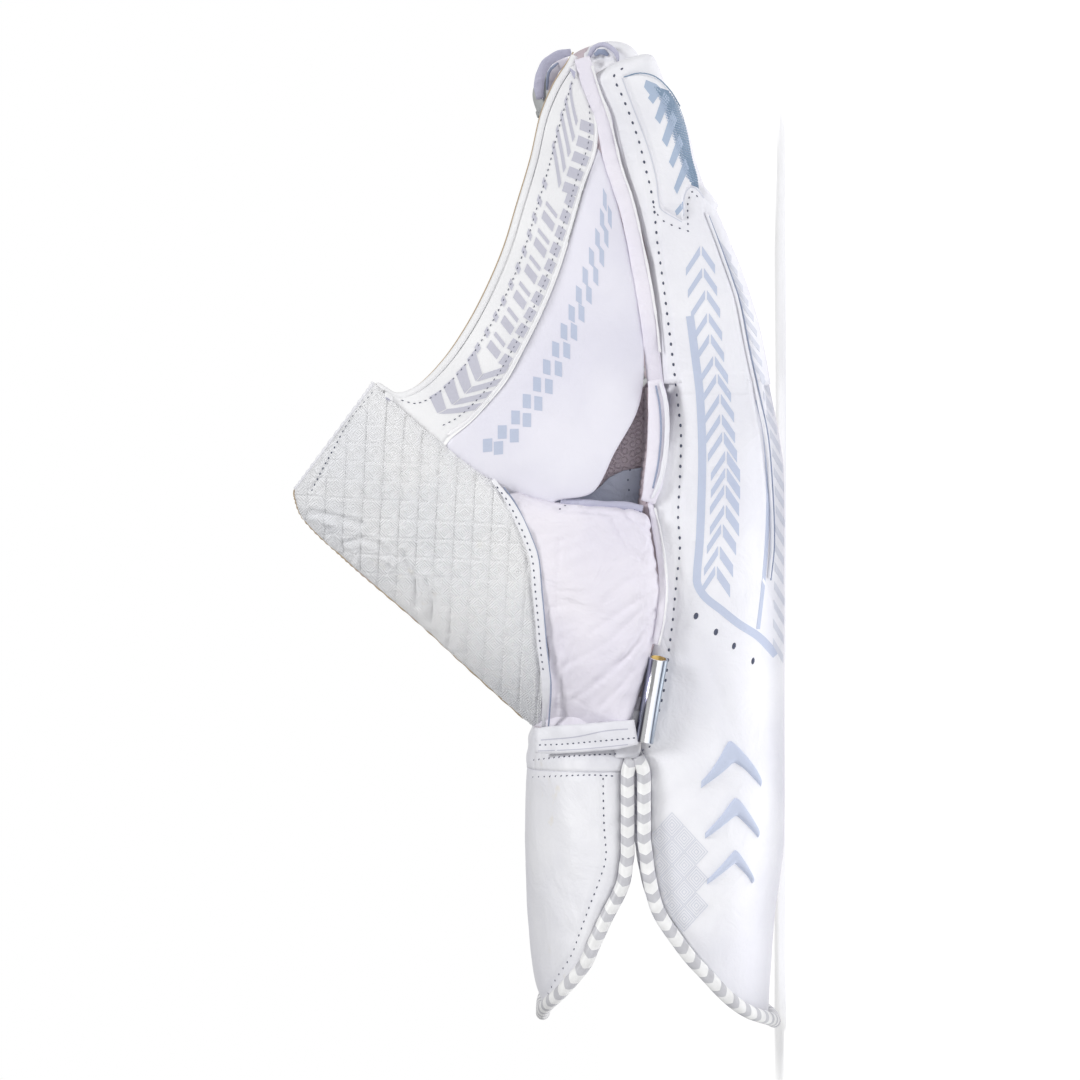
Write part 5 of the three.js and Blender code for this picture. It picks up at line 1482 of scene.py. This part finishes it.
# a thin dark strip of painted shade in the fold's crease
strap("foldCreaseShade", [(656, 386), (660, 408), (661, 436), (658, 465), (653, 488)],
      1.8, 0.15, ["sideFold"], "seamShade", rise=0.05, wall=0.3)
strap("foldEdge", [(660, 382), (666, 404), (667, 434), (664, 464), (659, 484), (652, 498)], 5, 0.6,
      ["sideFold", "backPanel"], "leather", rise=0.2, wall=0.8, wave=0.2, taper=0.4)
strap("gussetEdge", [(650, 503), (656, 530), (661, 562), (663, 592), (660, 620), (655, 644)], 8, 0.7,
      ["thumbGusset", "palmRubber", "backPanel"], "gussetLeather", rise=0.4, wall=1.0, wave=0.35, taper=0.3)
strap("gussetRawEdge", [(655, 508), (661, 535), (665.5, 565), (667, 592), (664, 622), (659, 645)], 2.2, 0.3,
      ["gussetEdge", "backPanel"], "trim", rise=0.1, wall=0.4, wave=0.3)
padEdgeLeft = [(622, 78), (631, 102), (641, 128), (650, 154), (656, 178), (659, 203), (663, 211), (682, 222)]
padEdgeNotch = [(684, 216), (683.5, 204), (685.5, 193), (691, 187), (698, 190), (704, 198)]
# a thin pale grey line of painted shade along the pad's left and lower edges and round its notch
printsAndShadeLines("padEdgeShadeLine", band(padEdgeLeft, 3, 1.0) + band(padEdgeNotch, 3, 1.3), ["indexPad", "indexBack"],
        "printAndShadePale", lift=0.08, sink=0.1, step=0.8)
# a thin dark line of painted shade along the pad's top edge
strap("padTopShadeLine", [(624, 77), (640, 73), (656, 77), (670, 90), (680, 106)],
      1.2, 0.12, ["indexPad", "indexBack"], "padPrintAndShadeBlue", rise=0.05, wall=0.3)
strap("wristTop", [(535, 740.5), (552, 740), (575, 738.5), (600, 736.5), (618, 735), (636, 732)], 28, 0.5,
      ["wristBand", "palmRubber", "thumbGusset"], "cuffLeather", rise=0.5, wall=1.3, wave=0.5, taper=0.1)
# thin grey lines of painted shade across the wrist band
printsAndShadeLines("wristShadeLines", band([(541, 740), (575, 737), (605, 731), (628, 729)], 4, 1.1)
        + band([(538, 751), (575, 749.5), (605, 747), (628, 744.5)], 4, 0.9),
        ["wristTop", "wristBand"], "printAndShadeGrey", lift=0.06, sink=0.1, step=0.9)
strap("wristCorner", [(629, 710), (628, 735), (627, 758)], 27, 0.7, ["wristBand", "palmCuff", "backPanel"],
      "cuffLeather", rise=1.1, wall=1.4, wave=0.8, taper=0.15)
thumbEdge = [(493, 480), (499, 487.5), (509, 501), (518.5, 519), (528, 541), (534, 560), (537, 592),
             (539.5, 619), (541.5, 644), (544.5, 669), (546, 690), (543.5, 728)]
strap("thumbSeamEdge", thumbEdge, 9, 0.35, ["embossedThumb", "thumbGusset"], "leather", rise=0.25, wall=0.9,
      wave=0.12, taper=0.55)
# a thin dark strip of painted shade beside the thumb's seam
strap("thumbSeamShade", [(x + 5, y) for x, y in thumbEdge[1:]], 1.4, 0.12, ["thumbGusset", "embossedThumb"],
      "seamShade", rise=0.06, wall=0.3)
strap("backSeam", [(706, 213), (720, 250), (737, 300), (747, 350), (758, 400), (766, 440), (771, 500),
                   (772, 545), (769, 578)],
      3.4, 0.5, ["backPanel", "indexBack"], "leather", rise=0.1, wall=0.8, wave=0.1)
# a thin dark strip of painted shade beside the back seam
strap("backSeamShade", [(709, 216), (723, 252), (740, 301), (750, 350), (761, 400), (769, 441), (773.5, 500),
                       (774.5, 545), (771, 580)], 1.3, 0.15, ["backPanel", "indexBack"], "seamShade",
      rise=0.12, wall=0.3)


def sheetBetween(name, top, bottom, y, material, columns=36, rows=16, wave=0.4, size=6):
    # a thin patch facing the camera between two lines of picture pixels, at depth y
    def spaced(line):
        along = np.linspace(0, 1, len(line))
        return np.stack([np.interp(np.linspace(0, 1, columns), along, part) for part in zip(*line)], -1)

    grid = np.array([[atDepth(*(a * (1 - g) + b * g), y) for g in np.linspace(0, 1, rows)]
                     for a, b in zip(spaced(top), spaced(bottom))])
    shell(name, grid, crotch["wall"], facing(grid), material, relief=wave * bend(grid, size, 41), rim=0.15)
    return grid


crotch = {"sheetAt": -50.0, "suedeAt": -52.4, "wall": 1.2, "ringPitch": 3.0}
sheet = sheetBetween("crotchRubber", [(584, 474), (606, 440), (628, 408), (646, 384), (661, 372)],
                     [(584, 500), (606, 502), (628, 506), (646, 508), (661, 504)],
                     crotch["sheetAt"], "rubber", columns=40, rows=60, wave=0.3)
sheet = sheet + normalsOf(sheet, facing(sheet)) * 0.15
ringed("crotchRings", onGrid(sheet, facing(sheet), crotch["ringPitch"], lambda p: False), "rubber",
       palm["ringRadius"], palm["ringThick"])
# real suede at its right; its left end lies behind the web panel and the lip, a sheet that stands in for the
# shade in the gap between them
sheetBetween("crotchSuedePatch",
             [(540, 488), (566, 490), (594, 492), (601, 486), (609, 478), (623, 471), (646, 467), (661, 459)],
             [(540, 508), (566, 506), (594, 504), (600, 503), (612, 504), (626, 506), (641, 512), (661, 508)],
             crotch["suedeAt"], "suede", columns=60, rows=20, wave=0.5, size=5)

# Slanted bars at the far edge of the back, and nested diamonds printed on the back cuff
barRuns = [
    {"rows": (236, 360, 15), "down": (213, 250, 300, 365), "across": (713, 728, 746, 757),
     "left": 6, "fall": 20, "tall": 6},
    {"rows": (372, 640, 19), "down": (372, 440, 500, 640), "across": (761, 773, 777, 774),
     "left": 1, "fall": 17, "tall": 8},
]
bars = []
for barRun in barRuns:
    for y in np.arange(*barRun["rows"]):
        x = float(np.interp(y, barRun["down"], barRun["across"]))
        left, right, low, tall = x - barRun["left"], x + 9, y + barRun["fall"], barRun["tall"]
        bars.append([(left, y), (right, low), (right, low + tall), (left, y + tall)])
printsAndShadeLines("backBars", bars, nearLeather, "printAndShadePale", step=0.9)
diamonds = []
diamond = {"across": 672, "down": 825, "wide": 12.2, "high": 13.4, "line": 0.7,
           "rings": (0.96, 0.72, 0.48, 0.24)}
for j in range(11):
    for i in range(-1, 5):
        x = diamond["across"] + diamond["wide"] * (2 * i + j % 2)
        y = diamond["down"] + diamond["high"] * j
        if x < 648 or x > 742 or y < 812 + 0.52 * (x - 652) or y > 960 or x - 712 > 0.8 * (905 - y):
            continue
        if x > 700 and y < 893:
            continue
        for ring in diamond["rings"]:
            a, b = diamond["wide"] * ring, diamond["high"] * ring
            c, d = max(a - diamond["line"] * 1.3, 0), max(b - diamond["line"] * 1.4, 0)
            for p, q in ((-1, -1), (1, -1), (1, 1), (-1, 1)):
                diamonds.append([(x + p * a, y), (x, y + q * b), (x, y + q * d), (x + p * c, y)])
printsAndShadeLines("cuffDiamonds", diamonds, ["backPanel"], "printAndShadePale", lift=0.13, step=1.6)
print("strips, patches and prints ready")

# Rows of stitches and needle holes, as dark beads of painted shade for the holes
stitched("sideSeamHoles", nearStitchLine, 10.2, nearLeather + ["indexPad"], "needleHoleShade", long=0.6, wide=0.42,
         deep=0.3)
vents = []
for place in ((696, 616), (716, 632), (734, 646), (753, 661)):
    found = pin(*place, nearLeather)
    if found:
        vents.append((*found[:2], np.array([1.0, 0.0, -0.35])))
dots("vents", vents, "needleHoleShade", long=1.2, wide=0.8, deep=0.35)
fineHole = {"long": 0.42, "wide": 0.26, "deep": 0.2}
cuffSkins = ["wristBand", "palmCuff", "wristTop", "wristCorner"]
# name, pitch, the skins it lies on, line
fineRows = [
    ("padBranch", 7.5, nearLeather, [(654, 207), (661, 219), (674, 226), (688, 231)]),
    ("padNotch", 6.5, nearLeather, [(688, 224), (688, 203), (692, 192), (697, 196)]),
    ("thumbTipStitches", 6.0, ["embossedThumb"],
     [(372, 393), (350, 420), (333, 450), (322, 470), (312, 490)]),
    ("thumbSideStitches", 7.0, ["embossedThumb", "thumbSeamEdge"],
     [(x - 1.5, y) for x, y in thumbEdge[1:10]]),
    ("lipStitches", 6.0, ["thumbGusset"], [(560, 509), (578, 499), (600, 501), (622, 505), (640, 512)]),
    ("wristRowHigh", 5.0, cuffSkins, [(534, 760), (560, 757), (590, 755), (615, 754)]),
    ("wristRowLow", 5.6, cuffSkins, [(533, 777), (560, 776), (590, 775), (612, 776)]),
    ("wristRowTop", 5.5, cuffSkins, [(540, 745), (565, 744), (600, 741), (634, 738)]),
    ("cuffCurve", 7.2, ["palmCuff"], [(604, 757)] + cuffCurve),
    ("tubeRow", 6.5, ["backPanel", "wristCorner"], [(655, 718), (653, 732), (651, 745), (643, 750)]),
    ("suedeStitches", 8, ["crotchSuedePatch"], [(630, 470), (628, 480), (629, 490)]),
]
for rowName, pitch, carriers, line in fineRows:
    stitched(rowName, line, pitch, carriers, "needleHoleShade", **fineHole)
print("stitches ready")
